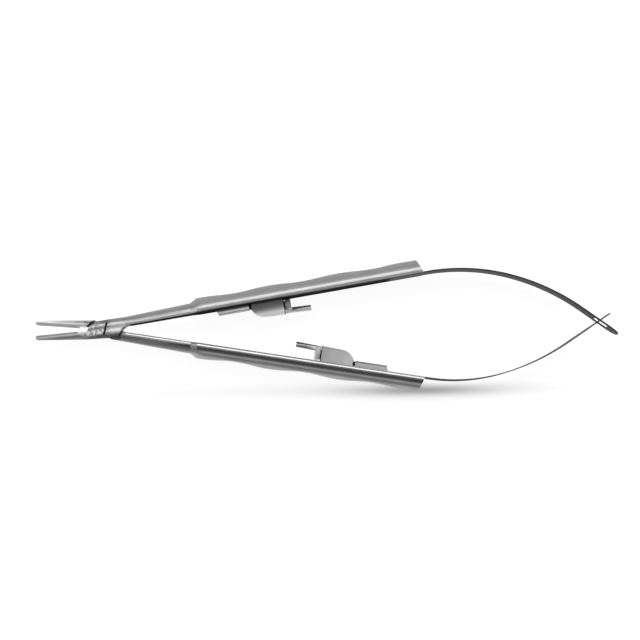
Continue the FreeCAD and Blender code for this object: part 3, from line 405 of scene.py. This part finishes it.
# %% Tones of the two forgings
satin = (0.4, 0.5)
polished = (0.18, 0.26)
# Greys of painted reflections and painted shade for handle, shank and jaw, at distances from the inner
# face.
upper_forging = forging(
    "satin_forging", 1, satin,
    [(-1, 0.2), (0, 0.22), (0.15, 0.45), (0.4, 0.9), (0.6, 0.95), (0.8, 0.78), (1.1, 0.82),
     (1.3, 0.52), (1.5, 0.36), (2.0, 0.31), (5, 0.31)],
    [(-1, 0.5), (0, 0.5), (0.15, 0.8), (0.4, 1), (0.6, 0.85), (0.85, 0.66), (1.1, 0.42),
     (1.3, 0.29), (1.6, 0.26), (2.0, 0.3), (5, 0.32)],
    [(-1, 0.6), (0, 0.6), (0.25, 1), (0.45, 0.9), (0.65, 0.6), (0.85, 0.35), (1.05, 0.18),
     (1.3, 0.13), (1.55, 0.26), (3, 0.35)],
    True)
lower_forging = forging(
    "polished_forging", -1, polished,
    [(-1, 0.65), (0, 0.65), (0.25, 0.44), (0.75, 0.48), (0.95, 0.33), (1.15, 0.16), (1.4, 0.12),
     (1.65, 0.14), (1.9, 0.33), (2.05, 0.34), (2.25, 0.2), (2.5, 0.14), (2.75, 0.2), (3.0, 0.33),
     (5, 0.4)],
    [(-1, 0.55), (0, 0.55), (0.3, 0.42), (0.55, 0.62), (0.75, 0.45), (0.95, 0.2), (1.2, 0.17),
     (1.7, 0.12), (2.1, 0.16), (2.4, 0.24), (2.7, 0.36), (5, 0.4)],
    [(-1, 0.36), (0, 0.36), (0.4, 0.45), (0.65, 0.85), (0.9, 1), (1.1, 0.55), (1.35, 0.27),
     (1.8, 0.3), (3, 0.4)],
    False)
print("forgings:", upper_forging.name, "and", lower_forging.name)

# %% Screw finish
slot_direction = (0.2, 0.98)
slot_reach = 0.3
slot_shade_grey = (0.05, 0.05, 0.052)


def screw_finish():
    """The head was ground with the cheek, so it has the same speckles and painted highlight streaks.
    Its slot gets painted shade, black inside.
    """
    metal, tree, shader, colour = steel("screw_metal", ground_dark, white, satin, even,
                                        ground_lines, ground_depth)
    offset = offset_from_screw(tree)
    # Painted shade: the slot is black, with no mirror.
    slot = near_line(tree, offset, (0, 0), slot_direction, slot_reach)
    tone = multiplied(tree, colour, cheek_mottle_and_highlights(tree, offset))
    join(tree, mixed(tree, slot, tone, slot_shade_grey), shader.inputs["Base Color"])
    join(tree, spread(tree, slot, 0.5, 0, 0, 1), shader.inputs["Metallic"])
    shader.inputs["Specular IOR Level"].default_value = 0.0
    return metal


screw_metal = screw_finish()
print("screw:", screw_metal.name)

# %% [markdown]
# ## Finish of the catches
# The catches are milled from thin stock and tumbled, which leaves a fine even grain. Each piece has its
# own painted light and shade, as tones from the handle to its crown. The depth from the handle's inner
# face is the distance to a plane through the screw, which a dot product gives. A thin dark line of
# painted shade is painted where the lever leaves the housing and where the housing ends.

# %% Where the catches have their seams
def along_handle_of(half):
    """The direction of a handle, from the screw to its end."""
    return (half_place(half, 1, 0, 0) - screw).normalized()


def seam_and_heel(side, half):
    """Distances from the screw, along the handle, to the two ends of a catch's housing."""
    corners = frame["nodes"][f"{side}_catch_housing"].data.vertices
    places = [(corner.co - screw).dot(along_handle_of(half)) for corner in corners]
    return (max(places), min(places)) if half == 1 else (min(places), max(places))


print("housing of the upper catch:", [round(v / mm, 1) for v in seam_and_heel("upper", 1)], "mm")

# %% Catch finish
catch_height = 4 * mm
lip_start = 1.5 * mm
lip_fade = 0.2 * mm
heel_inset = 0.15 * mm
heel_reach = 0.36
seam_shade_grey = (0.03, 0.03, 0.031)
milled_dark = (0.86, 0.86, 0.87)
milled_grain = 2600.0


def catch_steel(name, side, half, depth_tones, lip_tones=None, heel_light=1.0, seam_reach=0.2):
    """Milled steel with painted light and shade. Tones are greys at depths from the handle."""
    metal, tree, shader, colour = steel(name, milled_dark, white, (0.34, 0.44), even,
                                        milled_grain, fine_depth)
    offset = offset_from_screw(tree)
    along = distance_along(tree, offset, along_handle_of(half))
    depth = distance_along(tree, offset, -handle_outward(half))
    seam, heel = seam_and_heel(side, half)
    # Painted light and shade by depth from the handle: darker near it, lighter towards the crown.
    tone = tones(tree, depth, in_millimetres(depth_tones), 0, catch_height)
    if lip_tones:
        lip = half * lip_start + seam
        on_lip = spread(tree, along, 0, 1, lip, lip + half * lip_fade)
        lip_tone = tones(tree, depth, in_millimetres(lip_tones), 0, catch_height)
        tone = mixed(tree, on_lip, tone, lip_tone)
    # Painted light: the piece grows lighter towards its heel by heel_light.
    lighter = spread(tree, along, 1, heel_light, seam, heel)
    tone = multiplied(tree, multiplied(tree, colour, tone), lighter)
    # Painted shade: thin dark lines at the seam and at the heel, with no mirror.
    line = 0
    for place, reach in ((seam, seam_reach), (heel - half * heel_inset, heel_reach)):
        away = numbers(tree, "ABSOLUTE", numbers(tree, "SUBTRACT", along, place), 0)
        here = spread(tree, away, 1, 0, reach * 0.6 * mm, reach * mm)
        line = numbers(tree, "MAXIMUM", line, here)
    join(tree, mixed(tree, line, tone, seam_shade_grey), shader.inputs["Base Color"])
    join(tree, numbers(tree, "SUBTRACT", 1, line), shader.inputs["Metallic"])
    shader.inputs["Specular IOR Level"].default_value = 0.0
    return metal


# %% Tones of the catch pieces
# Each list of greys paints the light and shade of one catch piece, from the handle to its crown.
catch_metals = {
    "upper_catch_base": catch_steel(
        "upper_bar_metal", "upper", 1,
        [(0, 0.08), (0.6, 0.2), (0.8, 0.75), (1.05, 0.85), (1.22, 0.4), (1.4, 0.1), (4, 0.1)]),
    "upper_catch_housing": catch_steel(
        "upper_housing_metal", "upper", 1,
        [(0, 0.14), (0.6, 0.18), (1, 0.14), (1.6, 0.17), (2, 0.25), (2.3, 0.38), (2.6, 0.56),
         (3, 0.74), (3.4, 0.68), (4, 0.6)],
        seam_reach=0.26),
    "upper_catch_hook": catch_steel(
        "upper_hook_metal", "upper", 1,
        [(0, 0.24), (2.2, 0.26), (2.5, 0.45), (2.8, 0.7), (3.3, 0.8), (4, 0.6)],
        [(0, 0.04), (2.95, 0.04), (3.15, 0.5), (3.4, 0.85), (4, 0.7)]),
    "lower_catch_base": catch_steel(
        "lower_bar_metal", "lower", -1,
        [(0, 0.45), (0.3, 0.6), (0.8, 0.65), (1.0, 0.3), (1.28, 0.14), (4, 0.14)]),
    "lower_catch_housing": catch_steel(
        "lower_housing_metal", "lower", -1,
        [(0, 0.35), (0.3, 0.46), (2.9, 0.46), (3.4, 0.38), (4, 0.34)],
        heel_light=1.55, seam_reach=0.26),
    "lower_catch_hook": catch_steel(
        "lower_hook_metal", "lower", -1,
        [(0, 1), (1.5, 1), (2.2, 0.7), (2.8, 0.4), (3.3, 0.35), (3.5, 0.12), (4, 0.12)],
        [(0, 0.5), (2.7, 0.5), (3, 0.6), (3.3, 0.42), (3.5, 0.12), (4, 0.1)]),
}
print("catch finishes:", len(catch_metals))

# %% [markdown]
# ## Finish of the springs and small parts
# Spring steel is nearly black here and takes little mirror light: its metal share is low. Each leaf
# gets one painted grey for its faces and another for its edges, lighter or darker by how light falls on
# that leaf, so the tone follows which way a face looks. Inserts, pins and rivets are harder, darker
# steels with a fine even grain.

# %% Finish of leaves, inserts, pins and rivets
rolled_lines = 500.0
turned_grain = 3200.0
spring_metallic = 0.35


def spring_metal(name, face_grey, edge_grey):
    """Dark spring steel. Its edges get a painted grey of their own, lighter or darker than its faces by
    how light falls.
    """
    metal, tree, shader, colour = steel(name, (0.8, 0.8, 0.82), white, (0.3, 0.42), along_handle,
                                        rolled_lines, fine_depth)
    facing = place_axes(tree, "Normal")
    edge_facing = spread(tree, numbers(tree, "ABSOLUTE", facing["Z"], 0), 0, 1, 0.5, 0.8)
    tone = mixed(tree, edge_facing, (face_grey,) * 3, (edge_grey,) * 3)
    join(tree, multiplied(tree, colour, tone), shader.inputs["Base Color"])
    shader.inputs["Metallic"].default_value = spring_metallic
    shader.inputs["Specular IOR Level"].default_value = 0.0
    return metal


# The two leaves share one recipe, with painted light and shade in different greys for faces and edges.
leaf_metal = spring_metal("leaf_metal", 0.05, 0.035)
tongue_metal = spring_metal("tongue_metal", 0.06, 0.12)
hard_metal, *_ = steel("hard_metal", (0.34, 0.34, 0.35), (0.44, 0.44, 0.45), (0.3, 0.4),
                       even, turned_grain, fine_depth)
pin_metal, *_ = steel("pin_metal", (0.36, 0.36, 0.37), (0.46, 0.46, 0.47), (0.3, 0.4),
                      even, turned_grain, fine_depth)
print("small finishes:", [metal.name for metal in (leaf_metal, tongue_metal, hard_metal, pin_metal)])

# %% [markdown]
# ## Which piece gets which steel
# The two forgings carry different finishes in the photograph: the upper handle is an even satin, the
# lower one is smoother and shows crisp bands, partly its own sharper reflections and partly painted
# reflections in its colour. Pins and rivets are turned from bar. Catches, inserts, blades and leaves
# get their steel further down, where their own meshes are made.

# %% Finish the CAD pieces
finishes = {"box_half": upper_forging, "tang_half": lower_forging, "joint_screw": screw_metal}
for name in sorted(frame["nodes"]):
    if "rivet" in name or "pin" in name:
        finishes[name] = pin_metal
for name, metal in finishes.items():
    finish_node(name, metal)

# %% [markdown]
# ## Strips and blocks as meshes
# A leaf spring is a stamped strip: an outline with an opening, a thickness, and slightly broken
# edges. It is easiest to build flat. A grid of faces is laid out in plan, given its thickness by
# Solidify and its soft edges by Bevel, and only then rolled onto the curve of the spring by moving
# every vertex. The modifiers are applied first, because the curve must bend the finished strip.

# %% Helpers for meshes
def new_piece(name, corners, faces):
    """A piece from its corners and the faces between them."""
    mesh = bpy.data.meshes.new(name)
    mesh.from_pydata(corners, [], faces)
    piece = bpy.data.objects.new(name, mesh)
    bpy.context.scene.collection.objects.link(piece)
    return piece


def apply_modifiers(piece):
    """Turns what the modifiers show into the mesh itself."""
    bpy.context.view_layer.update()
    seen = piece.evaluated_get(bpy.context.evaluated_depsgraph_get())
    mesh = bpy.data.meshes.new_from_object(seen)
    piece.modifiers.clear()
    piece.data = mesh


# %% [markdown]
# ## Catches with broken edges
# Every edge that a hand can touch is broken on the real catch, and it is this thin band that picks
# up the light. The CAD pieces have sharp edges. Each is copied, its triangles are joined back into
# flat faces, and the long free edges are bevelled. Edges against the handle and inside the lever's
# channel stay sharp, so nothing opens up there.

# %% Helpers that copy a CAD piece
def joined_faces(node, flat_angle):
    """An editable copy of a CAD piece, with its triangles joined back into flat faces."""
    skin = bmesh.new()
    skin.from_mesh(frame["nodes"][node].data)
    bmesh.ops.remove_doubles(skin, verts=skin.verts, dist=2e-7)
    bmesh.ops.dissolve_limit(skin, angle_limit=math.radians(flat_angle),
                             verts=skin.verts, edges=skin.edges)
    return skin


def piece_from(skin, name, metal):
    """Turns an edited copy into a piece of its own."""
    mesh = bpy.data.meshes.new(name)
    skin.to_mesh(mesh)
    skin.free()
    mesh.materials.clear()
    mesh.materials.append(metal)
    piece = bpy.data.objects.new(name, mesh)
    bpy.context.scene.collection.objects.link(piece)
    return piece


# %% Find the edges that a hand can touch
shortest_edge = 0.7 * mm
sharpest_turn = math.radians(40)
handle_margin = 0.5 * mm
channel_half_width = 1.3 * mm


def is_free(edge, node, half):
    """True for a long sharp edge that is clear of the handle and of the lever's channel."""
    if len(edge.link_faces) != 2 or edge.calc_length() < shortest_edge:
        return False
    if edge.calc_face_angle() < sharpest_turn:
        return False
    inward = (half_place(half, 0, -1, 0) - screw).normalized()
    ends = [vertex.co for vertex in edge.verts]
    raised = all((spot - screw).dot(inward) > handle_margin for spot in ends)
    outside = all(abs(spot.z - screw.z) > channel_half_width for spot in ends)
    return raised and (outside or "hook" in node)


# %% Break the edges of the catches
largest_band = 2.5 * mm * mm


def broken_edges(node, half, body, width):
    """Bevels the free edges of a copy. Only the narrow faces are smooth, so flats stay flat."""
    skin = joined_faces(node, 0.6)
    free = [edge for edge in skin.edges if is_free(edge, node, half)]
    bmesh.ops.bevel(skin, geom=free, offset=width * mm, segments=3, profile=0.5,
                    affect="EDGES", clamp_overlap=True)
    piece = piece_from(skin, f"{node}_finished", catch_metals[node])
    for face in piece.data.polygons:
        face.use_smooth = face.area < largest_band
    piece.data.set_sharp_from_angle(angle=math.radians(35))
    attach(piece, body)
    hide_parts(node)
    print(node, "broken edges:", len(free), "faces:", len(piece.data.polygons))


for side, half in (("upper", 1), ("lower", -1)):
    for part, body, width in (("base", "arm", 0.12), ("housing", "arm", 0.2), ("hook", "hook", 0.12)):
        broken_edges(f"{side}_catch_{part}", half, f"{side}_{body}", width)

# %% [markdown]
# ## Centring blades
# Inside each catch a thin blade holds the lever in the middle: its root sits in the housing, its end in
# the lever. When the lever swings, the blade bends in the short free stretch between the two. The CAD
# blade is stiff, so a copy with more cuts along it takes its place.

# %% Copies of the two blades with more cuts
blade_cuts = 18
for side, half in (("upper", 1), ("lower", -1)):
    skin = joined_faces(f"{side}_catch_blade", 1)
    long_edges = [edge for edge in skin.edges if edge.calc_length() > 1.5 * mm]
    bmesh.ops.subdivide_edges(skin, edges=long_edges, cuts=blade_cuts, use_grid_fill=True)
    blade = piece_from(skin, f"{side}_bending_blade", leaf_metal)
    corners = [corner.co for corner in blade.data.vertices]
    direction = along_handle_of(half)
    places = [(corner - screw).dot(direction) for corner in corners]
    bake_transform(blade)
    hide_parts(f"{side}_catch_blade")
    length = round((max(places) - min(places)) / mm, 2)
    print(blade.name, "faces:", len(blade.data.polygons), "length mm:", length)

# %% [markdown]
# ## The two tail leaves
# Each leaf starts flush in the inner face of its handle, leaves it at the end, and bends towards the
# other one in two arcs and a straight end. The upper leaf has a slot near its rounded end. The lower
# one narrows to a tongue that passes through this slot, so the leaves push the handles apart and guide
# each other. The CAD leaves are rigid. These meshes take their place.

# %% Curve of a leaf
leaf_thickness = 0.26
leaf_seat = 67.4
leaf_exit = 76.3
handle_end = 75.3


def rolled(kind, distance):
    """Place (along, out) and direction of a leaf's middle line at a distance from its seat."""
    first, first_turn, second, second_turn, straight = kind
    reach = leaf_exit - leaf_seat
    along, out, angle = leaf_seat, leaf_thickness / 2, 0.0
    for length, radius in ((reach, None), (first * first_turn, first), (second * second_turn, second),
                           (straight + 1, None)):
        step = min(distance, length)
        if radius is None:
            along += step * math.cos(angle)
            out -= step * math.sin(angle)
        else:
            turned = angle + step / radius
            along += radius * (math.sin(turned) - math.sin(angle))
            out -= radius * (math.cos(angle) - math.cos(turned))
            angle = turned
        distance -= step
        if distance <= 1e-9:
            break
    return along, out, angle


def leaf_length(kind):
    """Length of a leaf from its seat to its end, along the strip."""
    first, first_turn, second, second_turn, straight = kind
    return leaf_exit - leaf_seat + first * first_turn + second * second_turn + straight


def roll_up(strip, kind, half):
    """Moves a flat strip onto its leaf's curve, in the room."""
    for vertex in strip.data.vertices:
        distance, across, up = vertex.co
        along, out, angle = rolled(kind, distance)
        along += up * math.sin(angle)
        out += up * math.cos(angle)
        vertex.co = half_place(half, along, out, across)
    for face in strip.data.polygons:
        face.use_smooth = True
    if half < 0:
        strip.data.flip_normals()
    strip.data.set_sharp_from_angle(angle=math.radians(40))


slotted = (46.0, math.radians(25.6), 51.5, math.radians(19.6), 10.4)
tongued = (40.4, math.radians(24.2), 53.0, math.radians(18.5), 12.32)
for title, kind in (("slotted leaf", slotted), ("tongue leaf", tongued)):
    print(title, round(leaf_length(kind), 2), "mm")


# %% Plan of the slotted leaf
root_half_width = 3.3
end_half_width = 2.8
station_step = 0.6
closest_station = 0.2
nose = 2.4
slot_margin = 3.0
slot_length = 3.6
slot_half_width = 1.7


def strip_half_width(distance, bend_end):
    """Half the width of a leaf, which tapers from the handle to the end of its bends."""
    share = (distance - (handle_end - leaf_seat)) / (bend_end - (handle_end - leaf_seat))
    return root_half_width - (root_half_width - end_half_width) * min(max(share, 0), 1)


def slotted_plan():
    """Stations along the leaf as (place, half width, half slot), and the slot's two ends."""
    total = leaf_length(slotted)
    straight_start = total - slotted[4]
    slot_far = total - slot_margin
    slot_near = slot_far - slot_length
    marks = [0.0]
    while marks[-1] < total - nose - 0.5:
        marks.append(marks[-1] + station_step)
    marks = [mark for mark in marks
             if min(abs(mark - slot_near), abs(mark - slot_far)) > closest_station]
    marks += [slot_near, slot_far]
    marks += [total - nose * (1 - math.sin(math.radians(step))) for step in range(0, 91, 10)]
    plan = []
    for mark in sorted(set(marks)):
        half = strip_half_width(mark, straight_start)
        into_nose = max(mark - (total - nose), 0)
        half -= nose - math.sqrt(max(nose ** 2 - into_nose ** 2, 0))
        plan.append((mark, max(half, 0.02), slot_half_width))
    return plan, slot_near, slot_far


print("slot", slot_length, "mm long and", 2 * slot_half_width, "mm wide")


# %% From a plan to a strip
edge_break = 0.05


def plan_to_strip(name, plan, near, far):
    """Lays a strip whose middle lane is left out between near and far."""
    places = {}
    corners = []
    faces = []

    def corner(along, across):
        """The number of a corner, shared by all faces that meet there."""
        key = (round(along, 5), round(across, 5))
        if key not in places:
            places[key] = len(corners)
            corners.append((key[0], key[1], 0))
        return places[key]

    for (a, half_a, lane), (b, half_b, _) in zip(plan, plan[1:]):
        lane_a = min(lane, half_a * 0.999)
        lane_b = min(lane, half_b * 0.999)
        middle_open = near - 1e-6 <= a and b <= far + 1e-6
        lanes = [(-half_a, -lane_a, -half_b, -lane_b), (lane_a, half_a, lane_b, half_b)]
        if not middle_open:
            lanes.insert(1, (-lane_a, lane_a, -lane_b, lane_b))
        for a0, a1, b0, b1 in lanes:
            faces.append([corner(a, a0), corner(b, b0), corner(b, b1), corner(a, a1)])
    return new_piece(name, corners, faces)


def thicken(strip):
    """Gives a flat strip its thickness and soft edges."""
    solid = strip.modifiers.new("thickness", "SOLIDIFY")
    solid.thickness = leaf_thickness
    solid.offset = 0
    edges = strip.modifiers.new("edges", "BEVEL")
    edges.width = edge_break
    edges.segments = 2
    edges.limit_method = "ANGLE"
    edges.angle_limit = math.radians(50)
    apply_modifiers(strip)


# %% The slotted leaf
slotted_leaf = plan_to_strip("slotted_leaf_spring", *slotted_plan())
thicken(slotted_leaf)
roll_up(slotted_leaf, slotted, 1)
slotted_leaf.data.materials.append(leaf_metal)
print("slotted leaf:", len(slotted_leaf.data.polygons), "faces")


# %% The tongue leaf
tongue_length = 5.6
tongue_half_width = 1.3
shoulder_half_width = 2.1
middle_lane = 0.5
no_opening = (1, 0)


def tongue_plan():
    """Stations along the leaf. It narrows to the shoulder, where the tongue starts with a step."""
    total = leaf_length(tongued)
    straight_start = total - tongued[4]
    shoulder = total - tongue_length
    marks = [0.0]
    while marks[-1] < total - 0.7:
        marks.append(marks[-1] + station_step)
    marks = [mark for mark in marks if abs(mark - shoulder) > closest_station]
    marks += [total]
    plan = []
    for mark in sorted(marks):
        if mark > shoulder:
            half = tongue_half_width
        elif mark > straight_start:
            narrowing = end_half_width - shoulder_half_width
            half = end_half_width - narrowing * (mark - straight_start) / (shoulder - straight_start)
        else:
            half = strip_half_width(mark, straight_start)
        plan.append((mark, half, middle_lane))
    plan += [(shoulder, shoulder_half_width, middle_lane),
             (shoulder + 0.01, tongue_half_width, middle_lane)]
    return sorted(plan)


tongue_leaf = plan_to_strip("tongue_leaf_spring", tongue_plan(), *no_opening)
thicken(tongue_leaf)
roll_up(tongue_leaf, tongued, -1)
tongue_leaf.data.materials.append(tongue_metal)
print("tongue leaf:", len(tongue_leaf.data.polygons), "faces")

# %% [markdown]
# ## Where the leaves cross
# When the handles close, each leaf is held by its own handle and pushed by the other. Here the place
# where the two leaves' middle lines cross is found, each leaf is set in the room, and the rigid CAD
# leaf is hidden.

# %% Find where the leaves cross and set them in the room
walk_step = 0.1
walk_start = 8


def leaf_place(kind, half, distance):
    """A spot on a leaf's middle line, in the room."""
    along, out, _ = rolled(kind, distance)
    return half_place(half, along, out, 0)


def crossing():
    """The place where the two leaves' middle lines cross, found by walking along both."""
    best = None
    for i in range(60):
        upper = leaf_place(slotted, 1, leaf_length(slotted) - walk_start + i * walk_step)
        for j in range(60):
            lower = leaf_place(tongued, -1, leaf_length(tongued) - walk_start + j * walk_step)
            gap = (upper - lower).length
            if best is None or gap < best[0]:
                best = (gap, upper)
    return best[1]


meeting = crossing()
for leaf, half, own, other, node in ((slotted_leaf, 1, "upper_arm", "lower_arm", "slotted_spring_leaf"),
                                     (tongue_leaf, -1, "lower_arm", "upper_arm", "tongue_spring_leaf")):
    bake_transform(leaf)
    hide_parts(node)
print("leaves cross at", [round(v / mm, 1) for v in meeting], "mm")

# %% [markdown]
# ## Teeth of the jaws
# The grip faces are hard inserts with a fine cross cut, so that a round needle can't roll. The CAD
# inserts are smooth. Here each one is a small tapered block whose grip face is a grid of pyramids:
# every second grid point is pressed in. Real geometry is used, because a bump doesn't show in the
# side view, where the teeth make the bite line look broken. The halves cross at the screw, so the
# half of the upper handle carries the lower jaw.

# %% Serrated inserts
insert_length = 10.0
jaw_reach = 16.6
jaw_root = 5.0
jaw_nose = 0.42
tip_width = 1.6
jaw_root_width = 4.5
pitch = 0.2
lanes = 16
tooth_depth = 0.11
face_at = -0.03
back_at = -0.48


def insert_half_width(ahead):
    """Half the width of a jaw, which narrows to its tip."""
    widening = (jaw_root_width - tip_width) * (jaw_reach - ahead) / (jaw_reach - jaw_root)
    return (tip_width + widening) / 2


def insert_corners(count):
    """Rows from the heel to the rounded tip: the toothed grip face, then two corners of the back."""
    corners = []
    for i in range(count + 1):
        ahead = jaw_reach - insert_length + i * pitch
        width = insert_half_width(ahead)
        into = max(ahead - (jaw_reach - jaw_nose), 0)
        drop = jaw_nose - math.sqrt(max(jaw_nose ** 2 - into ** 2, 0))
        flat_end = i < 2 or i > count - 3
        for j in range(lanes + 1):
            across = width * (2 * j / lanes - 1)
            pressed = 0 if flat_end or j in (0, lanes) else tooth_depth * ((i + j) % 2)
            corners.append((ahead, face_at - drop - pressed, across))
        corners.append((ahead, back_at, -width))
        corners.append((ahead, back_at, width))
    return corners


def insert_faces(count):
    """Four-sided faces between neighbouring rows, and one face at each end."""
    row = lanes + 3
    ring = list(range(lanes + 1)) + [lanes + 2, lanes + 1]
    faces = []
    for base in range(0, count * row, row):
        for here, beside in zip(ring, ring[1:] + ring[:1]):
            faces.append([base + here, base + beside, base + row + beside, base + row + here])
    return faces + [ring, [count * row + corner for corner in ring]]


def serrated_insert(name, half):
    """One insert in the room, with all its faces turned outward."""
    count = round(insert_length / pitch)
    corners = [jaw_place(half, *corner) for corner in insert_corners(count)]
    insert = new_piece(name, corners, insert_faces(count))
    skin = bmesh.new()
    skin.from_mesh(insert.data)
    bmesh.ops.recalc_face_normals(skin, faces=skin.faces)
    skin.to_mesh(insert.data)
    skin.free()
    insert.data.materials.append(hard_metal)
    return insert


for name, half, body, node in (("lower_serrated_insert", 1, "upper_arm", "lower_jaw_insert"),
                               ("upper_serrated_insert", -1, "lower_arm", "upper_jaw_insert")):
    insert = serrated_insert(name, half)
    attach(insert, body)
    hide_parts(node)
    print(name, len(insert.data.polygons), "faces")

# %% [markdown]
# ## The white sheet
# The photograph has a pure white ground with one soft grey pool under the lower handle; that pool is a
# painted shadow in the sheet's glow. The ground is a large sheet of matt white. A part of its
# brightness is its own glow, which only the camera and mirror rays see, so it lights nothing, and the
# object's own soft shadow still shows on it.

# %% The painted shadow pools
sheet_glow = 0.93
# The painted shadow pools lie along one line; each lists its middle and reach along x and its reach
# across, in millimetres, then how much glow it takes away.
shadow_pool_line = -15.0
shadow_pools = ((4, 62, 1.9, 0.12), (22, 17, 1.35, 0.48))


def squared_share(tree, place, middle, reach):
    """Square of the distance from the middle, where the reach counts as 1."""
    share = numbers(tree, "DIVIDE", numbers(tree, "SUBTRACT", place, middle * mm), reach * mm)
    return numbers(tree, "MULTIPLY", share, share)


def painted_shadow_pool(tree):
    """Glow of the sheet: even, less a wide faint painted shadow and a small deeper one under the
    handle.
    """
    spot = place_axes(tree, "Object")
    glow = sheet_glow
    for middle, reach_x, reach_y, depth in shadow_pools:
        far = numbers(tree, "ADD", squared_share(tree, spot["X"], middle, reach_x),
                      squared_share(tree, spot["Y"], shadow_pool_line, reach_y))
        fade = numbers(tree, "EXPONENT", numbers(tree, "MULTIPLY", far, -1.0), 0)
        glow = numbers(tree, "SUBTRACT", glow, numbers(tree, "MULTIPLY", fade, depth))
    return glow


print("pools:", len(shadow_pools))


# %% The sheet's material
def white_sheet():
    """Matt white plus a glow that only the camera and mirror rays see."""
    paper = bpy.data.materials.new("white_sheet")
    paper.use_nodes = True
    tree = paper.node_tree
    tree.nodes.clear()
    out = add_node(tree, "ShaderNodeOutputMaterial")
    matt = add_node(tree, "ShaderNodeBsdfDiffuse", sockets={"Color": (0.18, 0.18, 0.18, 1)})
    glow = add_node(tree, "ShaderNodeEmission", sockets={"Color": (1, 1, 1, 1)})
    total = add_node(tree, "ShaderNodeAddShader")
    ray = add_node(tree, "ShaderNodeLightPath")
    seen = ray.outputs["Is Camera Ray"]
    for kind in ("Is Glossy Ray", "Is Transmission Ray"):
        seen = numbers(tree, "MAXIMUM", seen, ray.outputs[kind])
    join(tree, numbers(tree, "MULTIPLY", seen, painted_shadow_pool(tree)), glow.inputs["Strength"])
    join(tree, matt.outputs["BSDF"], total.inputs[0])
    join(tree, glow.outputs["Emission"], total.inputs[1])
    join(tree, total.outputs["Shader"], out.inputs["Surface"])
    return paper


# %% Lay the sheet
sheet_half = 4.0
sheet_drop = 0.0002
floor = new_piece("white_sheet", [(-sheet_half, -sheet_half, 0), (sheet_half, -sheet_half, 0),
                                  (sheet_half, sheet_half, 0), (-sheet_half, sheet_half, 0)],
                  [[0, 1, 2, 3]])
floor.location.z = -sheet_drop
floor.data.materials.append(white_sheet())
print("sheet", 2 * sheet_half, "m wide")

# %% [markdown]
# ## Light
# Steel shows what surrounds it, so its bands are made by the room. A bright sky lies behind the
# upper handle, a dark stretch stands over the camera, and the rim of the room is pale. One soft
# lamp from behind the upper handle adds the highlight and the faint shadow.

# %% The room
sky_stops = [(-90, 0.6), (-60, 0.35), (-48, 0.12), (-6, 0.08), (4, 0.1), (8, 1.3), (45, 1.2),
             (60, 0.6), (90, 0.6)]


def room():
    """A sky whose grey follows the angle from straight up, towards the upper handle or away."""
    world = bpy.data.worlds.new("room")
    bpy.context.scene.world = world
    world.use_nodes = True
    tree = world.node_tree
    sky = tree.nodes["Background"]
    direction = add_node(tree, "ShaderNodeTexCoord")
    axes = add_node(tree, "ShaderNodeSeparateXYZ")
    join(tree, direction.outputs["Generated"], axes.inputs["Vector"])
    turned = numbers(tree, "ARCTAN2", axes.outputs["Y"], axes.outputs["Z"])
    lean = numbers(tree, "DEGREES", turned, 0)
    above_rim = spread(tree, axes.outputs["Z"], 0, 1, 0.2, 0.45)
    colour = mixed(tree, above_rim, (0.85, 0.85, 0.86), tones(tree, lean, sky_stops, -90, 90))
    join(tree, colour, sky.inputs["Color"])
    sky.inputs["Strength"].default_value = 1.0


room()
print("tones of the sky:", len(sky_stops))

# %% The lamp
lamp_width = 0.5
lamp_height = 0.3
lamp_watts = 0.75
lamp_data = bpy.data.lights.new("soft_lamp", "AREA")
lamp_data.shape = "RECTANGLE"
lamp_data.size = lamp_width
lamp_data.size_y = lamp_height
lamp_data.energy = lamp_watts
lamp = bpy.data.objects.new("soft_lamp", lamp_data)
bpy.context.scene.collection.objects.link(lamp)
lamp.location = (0.0, 0.3, 0.4)
lamp.rotation_euler = (Vector((0, 0, 0)) - lamp.location).to_track_quat("-Z", "Y").to_euler()
print("lamp of", lamp_watts, "W at", [round(v, 2) for v in lamp.location])
